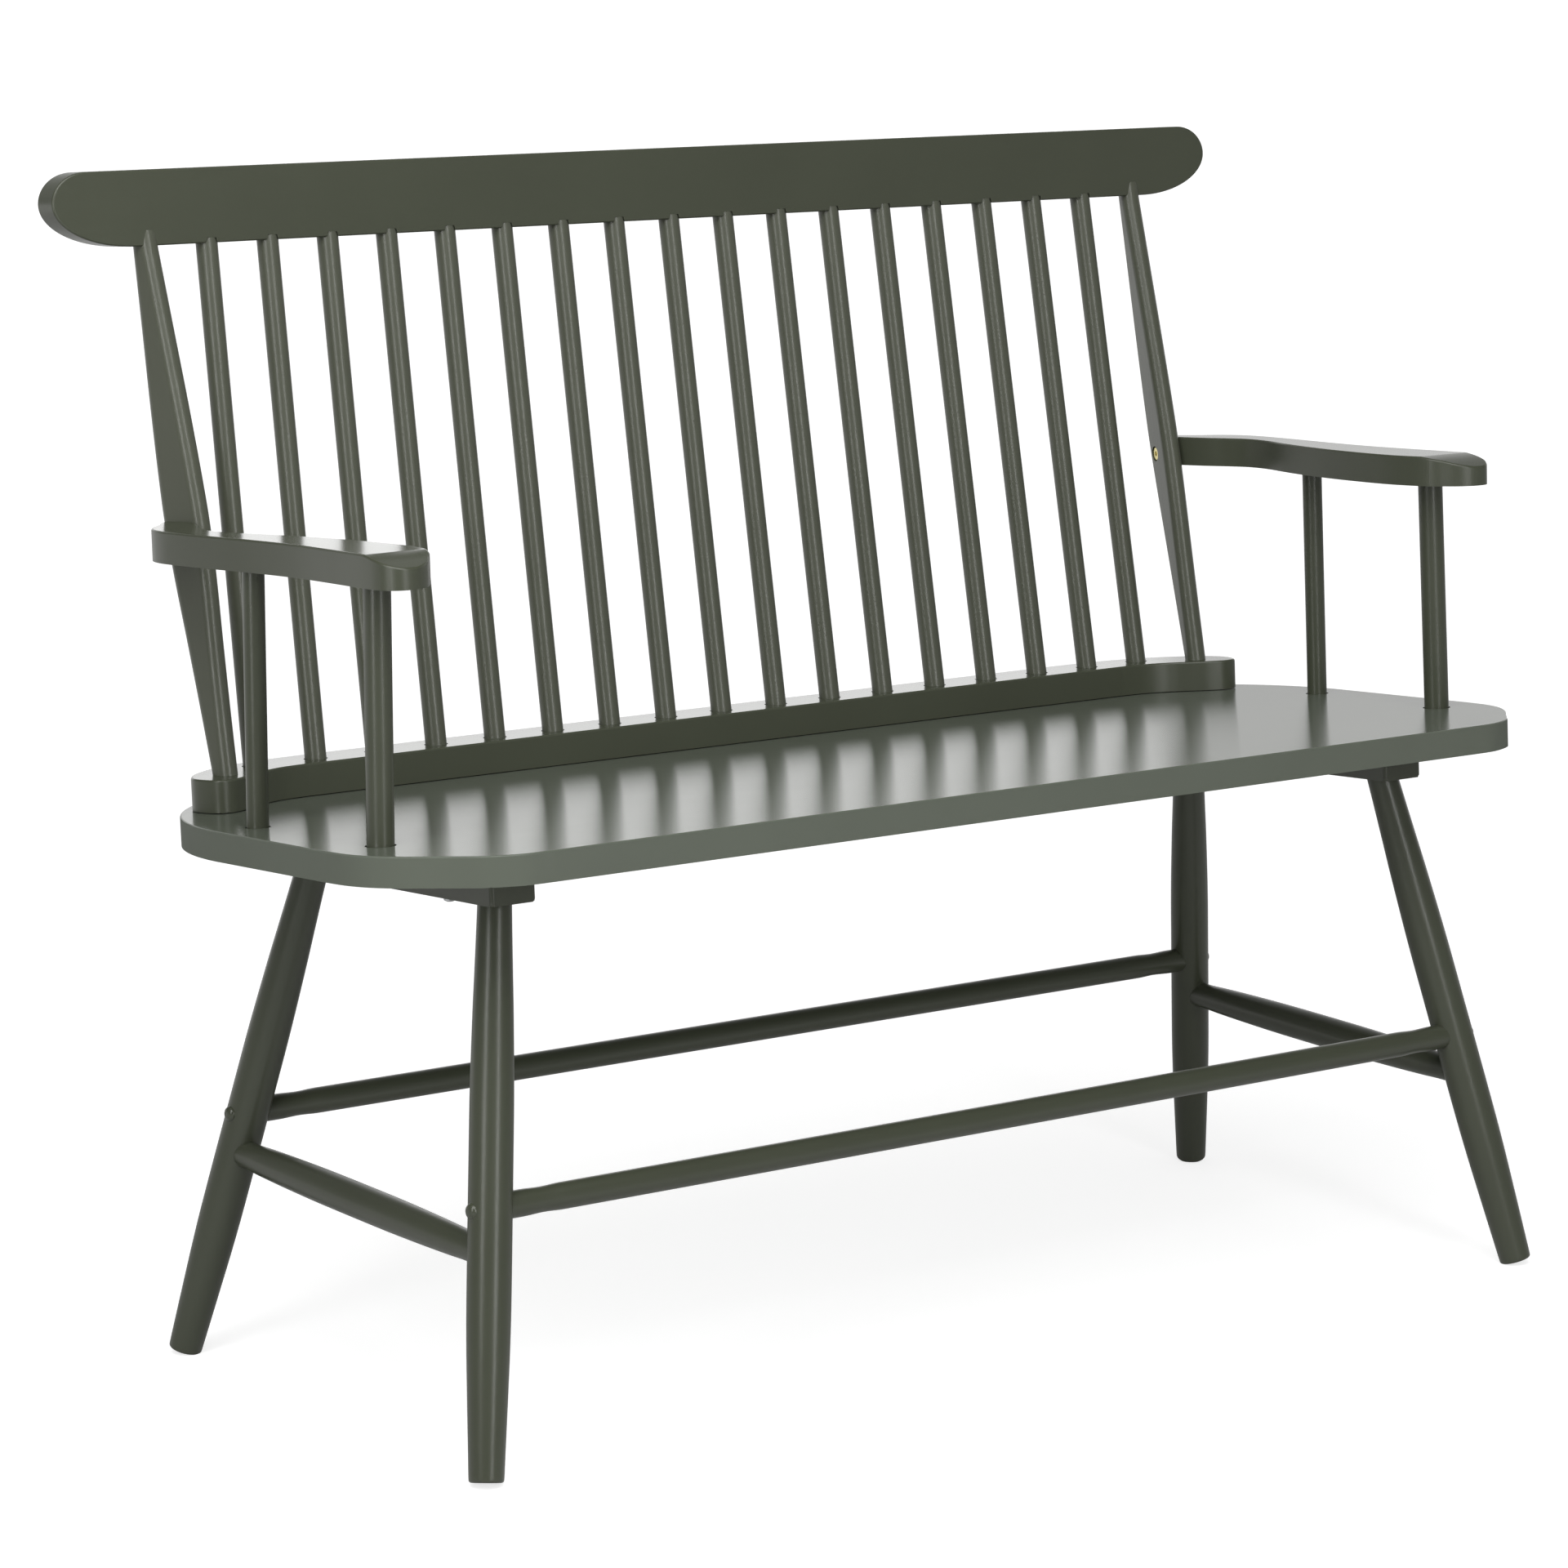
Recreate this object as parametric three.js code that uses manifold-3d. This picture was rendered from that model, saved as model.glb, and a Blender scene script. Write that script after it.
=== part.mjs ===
// Deacons bench: a long spindle-back bench with arms, as separate painted wooden pieces and their fasteners.
// Lengths are in millimetres. X runs along the bench, Y from its front to its back, and Z up from the floor.
// The seat and everything on it lie in the seat's own frame, which is tilted back a little:
// its origin is the middle of the seat's front edge, on the seat's top.
import * as THREE from "three";
import { mergeVertices } from "three/addons/utils/BufferGeometryUtils.js";
import Module from "manifold-3d";

const wasm = await Module();
wasm.setup();

// Fits
const CLEARANCE = 0.3; // gap between a piece and what it seats on or in
const CUT_OVERRUN = 5; // how far a cutting solid runs past the face that it opens
const WELD_TOLERANCE = 0.001; // vertices closer than this are one vertex

// Seat
const SEAT_HEIGHT = 450; // floor to the top of the seat's front edge
const SEAT_TILT_DEGREES = 3.49;
const SEAT_LENGTH = 1088;
const SEAT_DEPTH = 464.5;
const SEAT_THICKNESS = 22.4;
const SEAT_FRONT_CORNER_LENGTH = 110;
const SEAT_FRONT_CORNER_DEPTH = 125;
const SEAT_REAR_CORNER_LENGTH = 155; // the rear corners are quarter ellipses
const SEAT_REAR_CORNER_DEPTH = 184;
// A front corner, from the long front edge to the end: shares of the corner's length and depth.
const SEAT_FRONT_CORNER_SHARES = [
  [0, 0],
  [0.22, 0.015],
  [0.44, 0.11],
  [0.57, 0.23],
  [0.7, 0.36],
  [0.83, 0.49],
  [0.93, 0.64],
  [0.985, 0.81],
  [1, 1],
];
const SEAT_EDGE_ROUND = 1.2;

// Lower back rail, which stands on the seat
const RAIL_END_INSET = 40.5; // seat's end to the rail's end
const RAIL_REAR_INSET = 13; // seat's rear edge to the rail's back
const RAIL_LENGTH = SEAT_LENGTH - 2 * RAIL_END_INSET;
const RAIL_HEIGHT = 25.4;
const RAIL_EAR_DEPTH = 92; // front of the ears to the rail's back
const RAIL_BACK = SEAT_DEPTH - RAIL_REAR_INSET; // behind the seat's front edge
const RAIL_EAR_FRONT = RAIL_BACK - RAIL_EAR_DEPTH;
const RAIL_EDGE_ROUND = 1.5;
// Outline of one end, from the long front face round the ear to the long back face:
// along half of the rail's length, and across the ear's depth.
const EAR_OUTLINE_SHARES = [
  [0.79, 0.405],
  [0.83, 0.385],
  [0.86, 0.335],
  [0.885, 0.26],
  [0.91, 0.165],
  [0.935, 0.075],
  [0.96, 0.015],
  [0.982, 0.04],
  [0.994, 0.15],
  [0.998, 0.3],
  [0.987, 0.45],
  [0.963, 0.61],
  [0.915, 0.8],
  [0.853, 0.93],
  [0.796, 0.98],
  [0.73, 1],
];

// Crest rail, whose faces stand square to the seat
const CREST_END_OVERHANG = 11.6; // past the seat's end
const CREST_REAR_OVERHANG = 16.7; // seat's rear edge to the crest's back
const CREST_LENGTH = SEAT_LENGTH + 2 * CREST_END_OVERHANG;
const CREST_HEIGHT = 57.1;
const CREST_THICKNESS = 23;
const CREST_BOTTOM = 420.5; // above the seat's top
const CREST_FRONT = SEAT_DEPTH + CREST_REAR_OVERHANG - CREST_THICKNESS; // behind the seat's front edge
const CREST_TOP_CORNER_LENGTH = 28.6; // the corners are quarter ellipses that meet at the end
const CREST_TOP_CORNER_HEIGHT = 23.5;
const CREST_BOTTOM_CORNER_LENGTH = 68.6;
const CREST_EDGE_ROUND = 1.2;

// Back posts: flat paddles, turned so that their outer faces look a little forward
const POST_THICKNESS = 16;
const POST_WIDTH = 40.6; // at its widest, near the arm
const POST_TURN_DEGREES = 17.6;
const POST_FOOT_END_INSET = 70.5; // seat's end to the post's axis, at the rail's top
const POST_HEAD_END_INSET = 67.9; // the same, at the crest's underside
const POST_RAIL_INSET = 61.4; // rail's back to the post's axis, at the rail's top
const POST_CREST_INSET = 6.9; // crest's front face to the post's axis, at its underside
const POST_FOOT_X = SEAT_LENGTH / 2 - POST_FOOT_END_INSET;
const POST_FOOT_SETBACK = RAIL_BACK - POST_RAIL_INSET;
const POST_HEAD_X = SEAT_LENGTH / 2 - POST_HEAD_END_INSET;
const POST_HEAD_SETBACK = CREST_FRONT + POST_CREST_INSET;
const POST_TENON_RADIUS = 6;
const POST_TENON_ROOT = 10; // how far the tenon's solid starts inside the paddle
const POST_WIDTH_SHARES = [
  [0, 0.49],
  [0.12, 0.61],
  [0.25, 0.765],
  [0.37, 0.925],
  [0.47, 1],
  [0.56, 0.965],
  [0.7, 0.835],
  [0.85, 0.655],
  [1, 0.48],
]; // along the post's height, and across its greatest width

// Back spindles
const SPINDLE_COUNT = 17;
const SPINDLE_RADIUS = 8.4;
const SPINDLE_FOOT_GAP = 41.5; // the last spindle to the post, axis to axis, at the rail's top
const SPINDLE_HEAD_GAP = 52.9; // the same, at the crest's underside
const SPINDLE_RAIL_PITCH = (2 * (POST_FOOT_X - SPINDLE_FOOT_GAP)) / (SPINDLE_COUNT - 1);
const SPINDLE_CREST_PITCH = (2 * (POST_HEAD_X - SPINDLE_HEAD_GAP)) / (SPINDLE_COUNT - 1);
const SPINDLE_RAIL_INSET = 31.7; // rail's back to the spindles' axes, at the rail's top
const SPINDLE_CREST_INSET = 8; // crest's front face to the spindles' axes, at its underside
const SPINDLE_RAIL_SETBACK = RAIL_BACK - SPINDLE_RAIL_INSET;
const SPINDLE_CREST_SETBACK = CREST_FRONT + SPINDLE_CREST_INSET;
const RAIL_SOCKET_DEPTH = 15;
const CREST_SOCKET_DEPTH = 20;

// Arms, in a frame of their own that rises a little to the rear from the seat's plane
const ARM_THICKNESS = 23.9;
const ARM_RISE_DEGREES = 1.03;
const ARM_UNDERSIDE = 184.3; // above the seat's top, at the front of the arm
const ARM_FRONT = 60; // behind the seat's front edge
const ARM_REAR_INSET = 24.5; // seat's rear edge to the arm's rear end
const ARM_END_INSET = 80.5; // seat's end to the arm's inner side
const ARM_REACH = SEAT_DEPTH - ARM_FRONT - ARM_REAR_INSET; // front to rear
const ARM_INNER_X = SEAT_LENGTH / 2 - ARM_END_INSET; // the arm's least distance from the bench's middle
const ARM_SPREAD = 66; // from there to its greatest distance
const ARM_EDGE_ROUND = 1.2;
const ARM_FRONT_ROUND_RADIUS = 172; // the top falls away in a slight round at the front end
const ARM_FRONT_ROUND_LENGTH = 35; // from the front end to where the top is flat
const ARM_FRONT_ROUND_LEAN_DEGREES = 8; // of the round where it meets the flat
// Outline, as shares of the reach from the front and of the spread from the inside.
const ARM_OUTER_SHARES = [
  [0.214, 0.82],
  [0.351, 0.79],
  [0.487, 0.83],
  [0.633, 0.925],
  [0.75, 0.99],
  [0.813, 1],
  [0.862, 0.945],
  [0.901, 0.82],
  [0.935, 0.64],
  [0.968, 0.5],
  [0.99, 0.385],
  [1, 0.28],
];
const ARM_INNER_SHARES = [
  [0.985, 0.22],
  [0.925, 0.25],
  [0.862, 0.345],
  [0.803, 0.48],
  [0.75, 0.565],
  [0.677, 0.525],
  [0.57, 0.34],
  [0.448, 0.17],
  [0.321, 0.055],
  [0.195, 0],
  [0.127, 0.025],
  [0.074, 0.1],
];
const ARM_FRONT_SHARES = [
  [0.048, 0.2],
  [0.022, 0.31],
  [0.006, 0.44],
  [0, 0.57],
  [0.004, 0.7],
  [0.018, 0.795],
  [0.041, 0.855],
  [0.088, 0.862],
];

// Arm posts: straight dowels, seated in the seat below and in the arm above. Their places are measured
// from the seat's end, and from its front edge for the front post and its rear edge for the rear post.
const ARM_POSTS = {
  front: { radius: 10, footEndInset: 41.2, footInset: 118.6, headEndInset: 46.2, headInset: 114.7 },
  rear: { radius: 8.2, footEndInset: 32.3, footInset: 187.6, headEndInset: 36.4, headInset: 192.9 },
};
const ARM_POST_SEAT_DEPTH = 14;
const ARM_POST_ARM_DEPTH = 12;

// Cleats under the seat, which carry the legs
const CLEAT_END_INSET = 121; // seat's end to the cleat's middle
const CLEAT_X = SEAT_LENGTH / 2 - CLEAT_END_INSET;
const CLEAT_WIDTH = 38;
const CLEAT_THICKNESS = 24.3;
const CLEAT_FRONT = 72.5; // behind the seat's front edge
const CLEAT_REAR_INSET = 98.5; // seat's rear edge to the cleat's rear end
const CLEAT_REAR = SEAT_DEPTH - CLEAT_REAR_INSET;
const CLEAT_CORNER_RADIUS = 3;
const CLEAT_EDGE_ROUND = 2.5;

// Legs: turned, swelling below the middle, splayed outwards and to front and back
const LEG_RADIUS = 16; // at the swell
const LEG_FOOT_ROUND = 2;
const FOOT_TRIM = 0.6; // depth of the level flat that each foot stands on
const LEG_RADIUS_SHARES = [
  [0, 0.775],
  [0.06, 0.815],
  [0.13, 0.87],
  [0.2, 0.925],
  [0.33, 0.99],
  [0.46, 1],
  [0.68, 1],
  [0.77, 0.972],
  [0.84, 0.922],
  [0.91, 0.866],
  [1, 0.79],
]; // along the leg from the cleat to the foot, and of the swell's radius
// A leg's top is measured outwards from the cleat's middle and in from the cleat's nearer end, and
// its foot on the floor outwards and to the front or rear from its top.
const LEGS = {
  front: { topOffset: 0.3, topInset: 25.5, footOffset: 72, footReach: 95.8 },
  rear: { topOffset: 4.5, topInset: 18.6, footOffset: 74.8, footReach: 76.6 },
};

// Stretchers, at their heights above the floor on the legs' axes
const LONG_STRETCHER_RADIUS = 9.9;
const LONG_STRETCHER_NECK_RADIUS = 9.25;
const LONG_STRETCHER_NECK_REACH = 36; // from the stretcher's end to the middle of its neck
const LONG_STRETCHER_HEIGHTS = { front: 187.4, rear: 192.1 };
const SIDE_STRETCHER_RADIUS = 13; // at its middle
const SIDE_STRETCHER_END_RADIUS = 10.4;
const SIDE_STRETCHER_HEIGHTS = { front: 156.3, rear: 160.7 };
const STRETCHER_SOCKET_DEPTH = 9;
const SIDE_STRETCHER_RADIUS_SHARES = [
  [0, 0],
  [0.06, 0.08],
  [0.12, 0.38],
  [0.22, 0.7],
  [0.35, 0.95],
  [0.5, 1],
]; // along half of the stretcher, and of the swell from its end to its middle

// Fasteners
// Domed heads, from the top of the dome down: shares of the head's height and of its radius.
const BOLT_DOME_SHARES = [
  [1, 0.5],
  [0.8, 0.85],
  [0.5, 1],
];
const SCREW_DOME_SHARES = [
  [1, 0.5],
  [0.7, 0.9],
];
const SOCKET_HEAD_TOP_SHARE = 0.8; // of a socket head's radius
const SOCKET_HEAD_EDGE_SHARE = 0.35; // of its height
const SCREW_TIP_SHARE = 0.25; // of a screw's shank radius
const STRETCHER_BOLT = { shankRadius: 3, headRadius: 6.2, headHeight: 4.5, proud: 3, reach: 34 };
const ARM_BOLT = {
  shankRadius: 3,
  headRadius: 5.8,
  headHeight: 3,
  sunk: 0.9,
  reach: 9, // into the arm
  socketRadius: 2.2,
  socketDepth: 1.8,
};
const ARM_BOLT_HEIGHT = 200.7; // above the seat's top
const ARM_BOLT_OFFSET = 4.7; // behind the post's axis, across the post
const ARM_BOLT_RECESS_RADIUS = 6.4;
const LEG_STUD = { radius: 4, cleatReach: 19, legReach: 38 };
const CLEAT_SCREW = { shankRadius: 2.2, headRadius: 5, headHeight: 3.6, reach: 15 };
const CLEAT_SCREW_OFFSET = 9; // outwards from the cleat's middle
const CLEAT_SCREW_INSET = 72; // from either end of the cleat
const RAIL_SCREW = { shankRadius: 2.2, headRadius: 4.4, headHeight: 2.6, reach: 13 };
const RAIL_SCREW_PITCHES = [-5.5, -1.5, 1.5, 5.5]; // places along the rail, in spindle pitches

// Facets
const TURNED_SIDES = 16;
const SPINDLE_SIDES = 12;
const FASTENER_SIDES = 10;
const KEY_SIDES = 6; // a hexagon socket
const CORNER_SEGMENTS = 5; // steps in a quarter turn are twice this
const EDGE_SEGMENTS = 1; // facets round a softened edge
const OUTLINE_STEPS = 2; // between two points of a free outline

const UP = new THREE.Vector3(0, 0, 1);
const { degToRad } = THREE.MathUtils;

// Frames: the bench stands on the floor below the seat's front edge until the last line moves it.
const bench = new THREE.Group();
const seatFrame = new THREE.Group();
seatFrame.position.z = SEAT_HEIGHT;
seatFrame.rotation.x = -degToRad(SEAT_TILT_DEGREES);
const armFrame = new THREE.Group();
armFrame.position.set(0, ARM_FRONT, ARM_UNDERSIDE);
armFrame.rotation.x = degToRad(ARM_RISE_DEGREES);
seatFrame.add(armFrame);
bench.add(seatFrame);
bench.updateMatrixWorld(true);

// Points

function point(x, y, z) {
  return new THREE.Vector3(x, y, z);
}

// The same point seen from another group's frame.
function carried(spot, fromFrame, toFrame) {
  return toFrame.worldToLocal(fromFrame.localToWorld(spot.clone()));
}

// The point at a distance from one point towards another.
function towards(from, to, distance) {
  return to.clone().sub(from).setLength(distance).add(from);
}

// The point on the line through two points at a height.
function atHeight(from, to, height) {
  return from.clone().lerp(to, (height - from.z) / (to.z - from.z));
}

// Surfaces and solids

// The surface with each shared vertex merged, which a solid needs.
function welded(geometry) {
  const surface = geometry.clone();
  surface.deleteAttribute("normal");
  surface.deleteAttribute("uv");
  return mergeVertices(surface, WELD_TOLERANCE);
}

function solidOf(geometry) {
  const surface = welded(geometry);
  return new wasm.Manifold(
    new wasm.Mesh({
      numProp: 3,
      vertProperties: new Float32Array(surface.attributes.position.array),
      triVerts: new Uint32Array(surface.index.array),
    }),
  );
}

function geometryOf(solid) {
  const mesh = solid.getMesh();
  const geometry = new THREE.BufferGeometry();
  geometry.setAttribute("position", new THREE.BufferAttribute(mesh.vertProperties, 3));
  geometry.setIndex(new THREE.BufferAttribute(mesh.triVerts, 1));
  geometry.computeVertexNormals();
  return geometry;
}

function cut(geometry, cutters) {
  return geometryOf(cutters.reduce((solid, cutter) => solid.subtract(solidOf(cutter)), solidOf(geometry)));
}

function joined(geometry, others) {
  return geometryOf(others.reduce((solid, other) => solid.add(solidOf(other)), solidOf(geometry)));
}

// The surface mirrored in the bench's middle plane, with its triangles turned to face out again.
function mirrored(geometry) {
  const surface = welded(geometry).scale(-1, 1, 1);
  const corners = surface.index.array;
  for (let first = 0; first < corners.length; first += 3) {
    [corners[first + 1], corners[first + 2]] = [corners[first + 2], corners[first + 1]];
  }
  return surface;
}

function withMirrored(geometries) {
  return [...geometries, ...geometries.map(mirrored)];
}

// A shape made up the Z axis from the origin, moved to start at one point and run towards another.
function along(geometry, from, to) {
  const turn = new THREE.Quaternion().setFromUnitVectors(UP, to.clone().sub(from).normalize());
  return geometry.applyQuaternion(turn).translate(from.x, from.y, from.z);
}

// A round solid on the Z axis from a list of [height, radius].
function turned(profile, sides) {
  const points = profile.map(([height, radius]) => new THREE.Vector2(radius, height));
  const start = new THREE.Vector2(0, points[0].y);
  const end = new THREE.Vector2(0, points[points.length - 1].y);
  return new THREE.LatheGeometry([start, ...points, end], sides).rotateX(Math.PI / 2);
}

// A round rod, always built upwards so that the facets of a rod and of its hole line up.
function rod(from, to, radius, sides) {
  const length = from.distanceTo(to);
  const [low, high] = from.z > to.z ? [to, from] : [from, to];
  return along(turned([[0, radius], [length, radius]], sides), low, high);
}

// A round hole that opens at the mouth and ends at the bottom.
function hole(mouth, bottom, radius, sides) {
  return rod(towards(mouth, bottom, -CUT_OVERRUN), bottom, radius, sides);
}

// An upright slab with an outline in the XY plane, its edges rounded, from one height to another.
function slab(outline, bottom, top, edgeRound) {
  const geometry = new THREE.ExtrudeGeometry(outline, {
    depth: top - bottom - 2 * edgeRound,
    bevelThickness: edgeRound,
    bevelSize: edgeRound,
    bevelOffset: -edgeRound,
    bevelSegments: EDGE_SEGMENTS,
    curveSegments: CORNER_SEGMENTS,
  });
  return geometry.translate(0, 0, bottom + edgeRound);
}

function box(low, high) {
  const size = high.clone().sub(low);
  const middle = low.clone().lerp(high, 1 / 2);
  return new THREE.BoxGeometry(size.x, size.y, size.z).translate(middle.x, middle.y, middle.z);
}

// A closed skin over rings that hold the same number of points, with flat ends.
function lofted(rings) {
  const ringSize = rings[0].length;
  const corners = [];
  for (let ring = 0; ring + 1 < rings.length; ring += 1) {
    for (let step = 0; step < ringSize; step += 1) {
      const next = (step + 1) % ringSize;
      const [a, b] = [ring * ringSize + step, ring * ringSize + next];
      const [c, d] = [a + ringSize, b + ringSize];
      corners.push(a, b, d, a, d, c);
    }
  }
  const last = (rings.length - 1) * ringSize;
  for (let step = 1; step + 1 < ringSize; step += 1) {
    corners.push(0, step + 1, step);
    corners.push(last, last + step, last + step + 1);
  }
  const geometry = new THREE.BufferGeometry().setFromPoints(rings.flat());
  return geometry.setIndex(corners);
}

// Points on a smooth curve through pairs of numbers.
function smooth(pairs) {
  const curve = new THREE.SplineCurve(pairs.map(([first, second]) => new THREE.Vector2(first, second)));
  return curve.getPoints((pairs.length - 1) * OUTLINE_STEPS);
}

// Finishes

function paintedWood() {
  return new THREE.MeshStandardMaterial({ color: 0x53564c, roughness: 0.42, metalness: 0 });
}

function brass() {
  return new THREE.MeshStandardMaterial({ color: 0xc2a24c, roughness: 0.3, metalness: 1 });
}

function paintedSteel() {
  return new THREE.MeshStandardMaterial({ color: 0x4a4c44, roughness: 0.4, metalness: 0.2 });
}

function zincSteel() {
  return new THREE.MeshStandardMaterial({ color: 0x9a9c9a, roughness: 0.4, metalness: 1 });
}

function place(name, geometry, material, frame) {
  const mesh = new THREE.Mesh(geometry, material);
  mesh.name = name;
  frame.add(mesh);
  return mesh;
}

// A piece made for the right end, and its mirror image at the left end.
function placePair(name, geometry, finish, frame) {
  place(`right_${name}`, geometry, finish(), frame);
  place(`left_${name}`, mirrored(geometry), finish(), frame);
}

// Axes that several pieces share

function spindleAxis(index) {
  const offset = index - (SPINDLE_COUNT - 1) / 2;
  return {
    foot: point(offset * SPINDLE_RAIL_PITCH, SPINDLE_RAIL_SETBACK, RAIL_HEIGHT),
    head: point(offset * SPINDLE_CREST_PITCH, SPINDLE_CREST_SETBACK, CREST_BOTTOM),
  };
}

const cleatTop = -SEAT_THICKNESS - CLEARANCE;
const cleatBottom = cleatTop - CLEAT_THICKNESS;

const spindleAxes = Array.from({ length: SPINDLE_COUNT }, (_, index) => spindleAxis(index));

const postAxis = {
  foot: point(POST_FOOT_X, POST_FOOT_SETBACK, RAIL_HEIGHT),
  head: point(POST_HEAD_X, POST_HEAD_SETBACK, CREST_BOTTOM),
};

// Directions across the right post: along its width towards the back, and out of its outer face.
const postTurn = degToRad(POST_TURN_DEGREES);
const postAcross = point(Math.sin(postTurn), Math.cos(postTurn), 0);
const postOut = postAcross.clone().cross(postAxis.head.clone().sub(postAxis.foot)).normalize();

function armPostAxis(row) {
  const size = ARM_POSTS[row];
  const setback = (inset) => (row === "front" ? inset : SEAT_DEPTH - inset);
  const foot = point(SEAT_LENGTH / 2 - size.footEndInset, setback(size.footInset), 0);
  const below = point(SEAT_LENGTH / 2 - size.headEndInset, setback(size.headInset), ARM_UNDERSIDE);
  const direction = carried(below, seatFrame, armFrame);
  const start = carried(foot, seatFrame, armFrame);
  const armHead = atHeight(start, direction, 0);
  return { foot, head: carried(armHead, armFrame, seatFrame), armHead, armFoot: start };
}

const armPostAxes = { front: armPostAxis("front"), rear: armPostAxis("rear") };

function legAxis(row) {
  const { topOffset, topInset, footOffset, footReach } = LEGS[row];
  const x = CLEAT_X + topOffset;
  const setback = row === "front" ? CLEAT_FRONT + topInset : CLEAT_REAR - topInset;
  const top = carried(point(x, setback, cleatBottom), seatFrame, bench);
  const onFloor = point(x + footOffset, row === "front" ? setback - footReach : setback + footReach, 0);
  const splay = UP.angleTo(top.clone().sub(onFloor));
  const footRadius = LEG_RADIUS * LEG_RADIUS_SHARES[LEG_RADIUS_SHARES.length - 1][1] - LEG_FOOT_ROUND;
  const footLift = footRadius * Math.sin(splay);
  const foot = atHeight(onFloor, top, footLift - FOOT_TRIM);
  return { top, foot };
}

const legAxes = { front: legAxis("front"), rear: legAxis("rear") };

// The radius of a leg where its axis passes a point.
function legRadiusAt(axis, spot) {
  const share = axis.top.distanceTo(spot) / axis.top.distanceTo(axis.foot);
  const above = LEG_RADIUS_SHARES.findLast(([fall]) => fall <= share);
  const below = LEG_RADIUS_SHARES.find(([fall]) => fall > share);
  const blend = (share - above[0]) / (below[0] - above[0]);
  return LEG_RADIUS * (above[1] + blend * (below[1] - above[1]));
}

function longStretcherAxis(row) {
  const right = atHeight(legAxes[row].foot, legAxes[row].top, LONG_STRETCHER_HEIGHTS[row]);
  const left = right.clone().setX(-right.x);
  const inset = legRadiusAt(legAxes[row], right) - STRETCHER_SOCKET_DEPTH;
  return { right, left, rightEnd: towards(right, left, inset), leftEnd: towards(left, right, inset), inset };
}

const longStretcherAxes = { front: longStretcherAxis("front"), rear: longStretcherAxis("rear") };

function sideStretcherAxis() {
  const front = atHeight(legAxes.front.foot, legAxes.front.top, SIDE_STRETCHER_HEIGHTS.front);
  const rear = atHeight(legAxes.rear.foot, legAxes.rear.top, SIDE_STRETCHER_HEIGHTS.rear);
  const frontInset = legRadiusAt(legAxes.front, front) - STRETCHER_SOCKET_DEPTH;
  const rearInset = legRadiusAt(legAxes.rear, rear) - STRETCHER_SOCKET_DEPTH;
  return { front, rear, frontEnd: towards(front, rear, frontInset), rearEnd: towards(rear, front, rearInset) };
}

const sideAxis = sideStretcherAxis();

// Places of the screws

function cleatScrewPlaces() {
  const x = CLEAT_X + CLEAT_SCREW_OFFSET;
  const front = CLEAT_FRONT + CLEAT_SCREW_INSET;
  const rear = CLEAT_REAR - CLEAT_SCREW_INSET;
  return { front: point(x, front, 0), rear: point(x, rear, 0) };
}

const cleatScrews = cleatScrewPlaces();
const railScrewXs = RAIL_SCREW_PITCHES.map((pitches) => pitches * SPINDLE_RAIL_PITCH);

// A vertical hole in the seat's frame from one height to another.
function uprightHole(x, y, from, to, radius) {
  return rod(point(x, y, from), point(x, y, to), radius, FASTENER_SIDES);
}

// Seat

function seatOutline() {
  const half = SEAT_LENGTH / 2;
  const [long, deep] = [SEAT_REAR_CORNER_LENGTH, SEAT_REAR_CORNER_DEPTH];
  const cornerStart = half - SEAT_FRONT_CORNER_LENGTH;
  const corner = smooth(
    SEAT_FRONT_CORNER_SHARES.map(([out, back]) => [
      cornerStart + out * SEAT_FRONT_CORNER_LENGTH,
      back * SEAT_FRONT_CORNER_DEPTH,
    ]),
  );
  const otherCorner = corner.map(({ x, y }) => new THREE.Vector2(-x, y)).reverse();
  const outline = new THREE.Shape(corner);
  outline.absellipse(half - long, SEAT_DEPTH - deep, long, deep, 0, Math.PI / 2);
  outline.absellipse(long - half, SEAT_DEPTH - deep, long, deep, Math.PI / 2, Math.PI);
  otherCorner.forEach(({ x, y }) => outline.lineTo(x, y));
  outline.closePath();
  return outline;
}

function seat() {
  const sockets = Object.keys(ARM_POSTS).map((row) => {
    const { foot, head } = armPostAxes[row];
    const bottom = towards(foot, head, -ARM_POST_SEAT_DEPTH - CLEARANCE);
    return hole(foot, bottom, ARM_POSTS[row].radius + CLEARANCE, TURNED_SIDES);
  });
  const pilots = Object.values(cleatScrews).map(({ x, y }) => {
    const depth = CLEAT_SCREW.reach + CLEARANCE - SEAT_THICKNESS;
    return uprightHole(x, y, -SEAT_THICKNESS - CUT_OVERRUN, depth, CLEAT_SCREW.shankRadius + CLEARANCE);
  });
  const railHoles = railScrewXs.map((x) => {
    const shank = RAIL_SCREW.shankRadius + CLEARANCE;
    const shankHole = uprightHole(x, SPINDLE_RAIL_SETBACK, -SEAT_THICKNESS - CUT_OVERRUN, CUT_OVERRUN, shank);
    return joined(shankHole, [railScrewHeadRoom(x)]);
  });
  return cut(slab(seatOutline(), -SEAT_THICKNESS, 0, SEAT_EDGE_ROUND), [
    ...withMirrored([...sockets, ...pilots]),
    ...railHoles,
  ]);
}

// Room for a countersunk head in the seat's underside.
function railScrewHeadRoom(x) {
  const { shankRadius, headRadius, headHeight } = RAIL_SCREW;
  const profile = [
    [-CUT_OVERRUN, headRadius + CLEARANCE],
    [0, headRadius + CLEARANCE],
    [headHeight + CLEARANCE, shankRadius + CLEARANCE],
  ];
  return turned(profile, FASTENER_SIDES).translate(x, SPINDLE_RAIL_SETBACK, -SEAT_THICKNESS);
}

// Lower back rail

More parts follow.
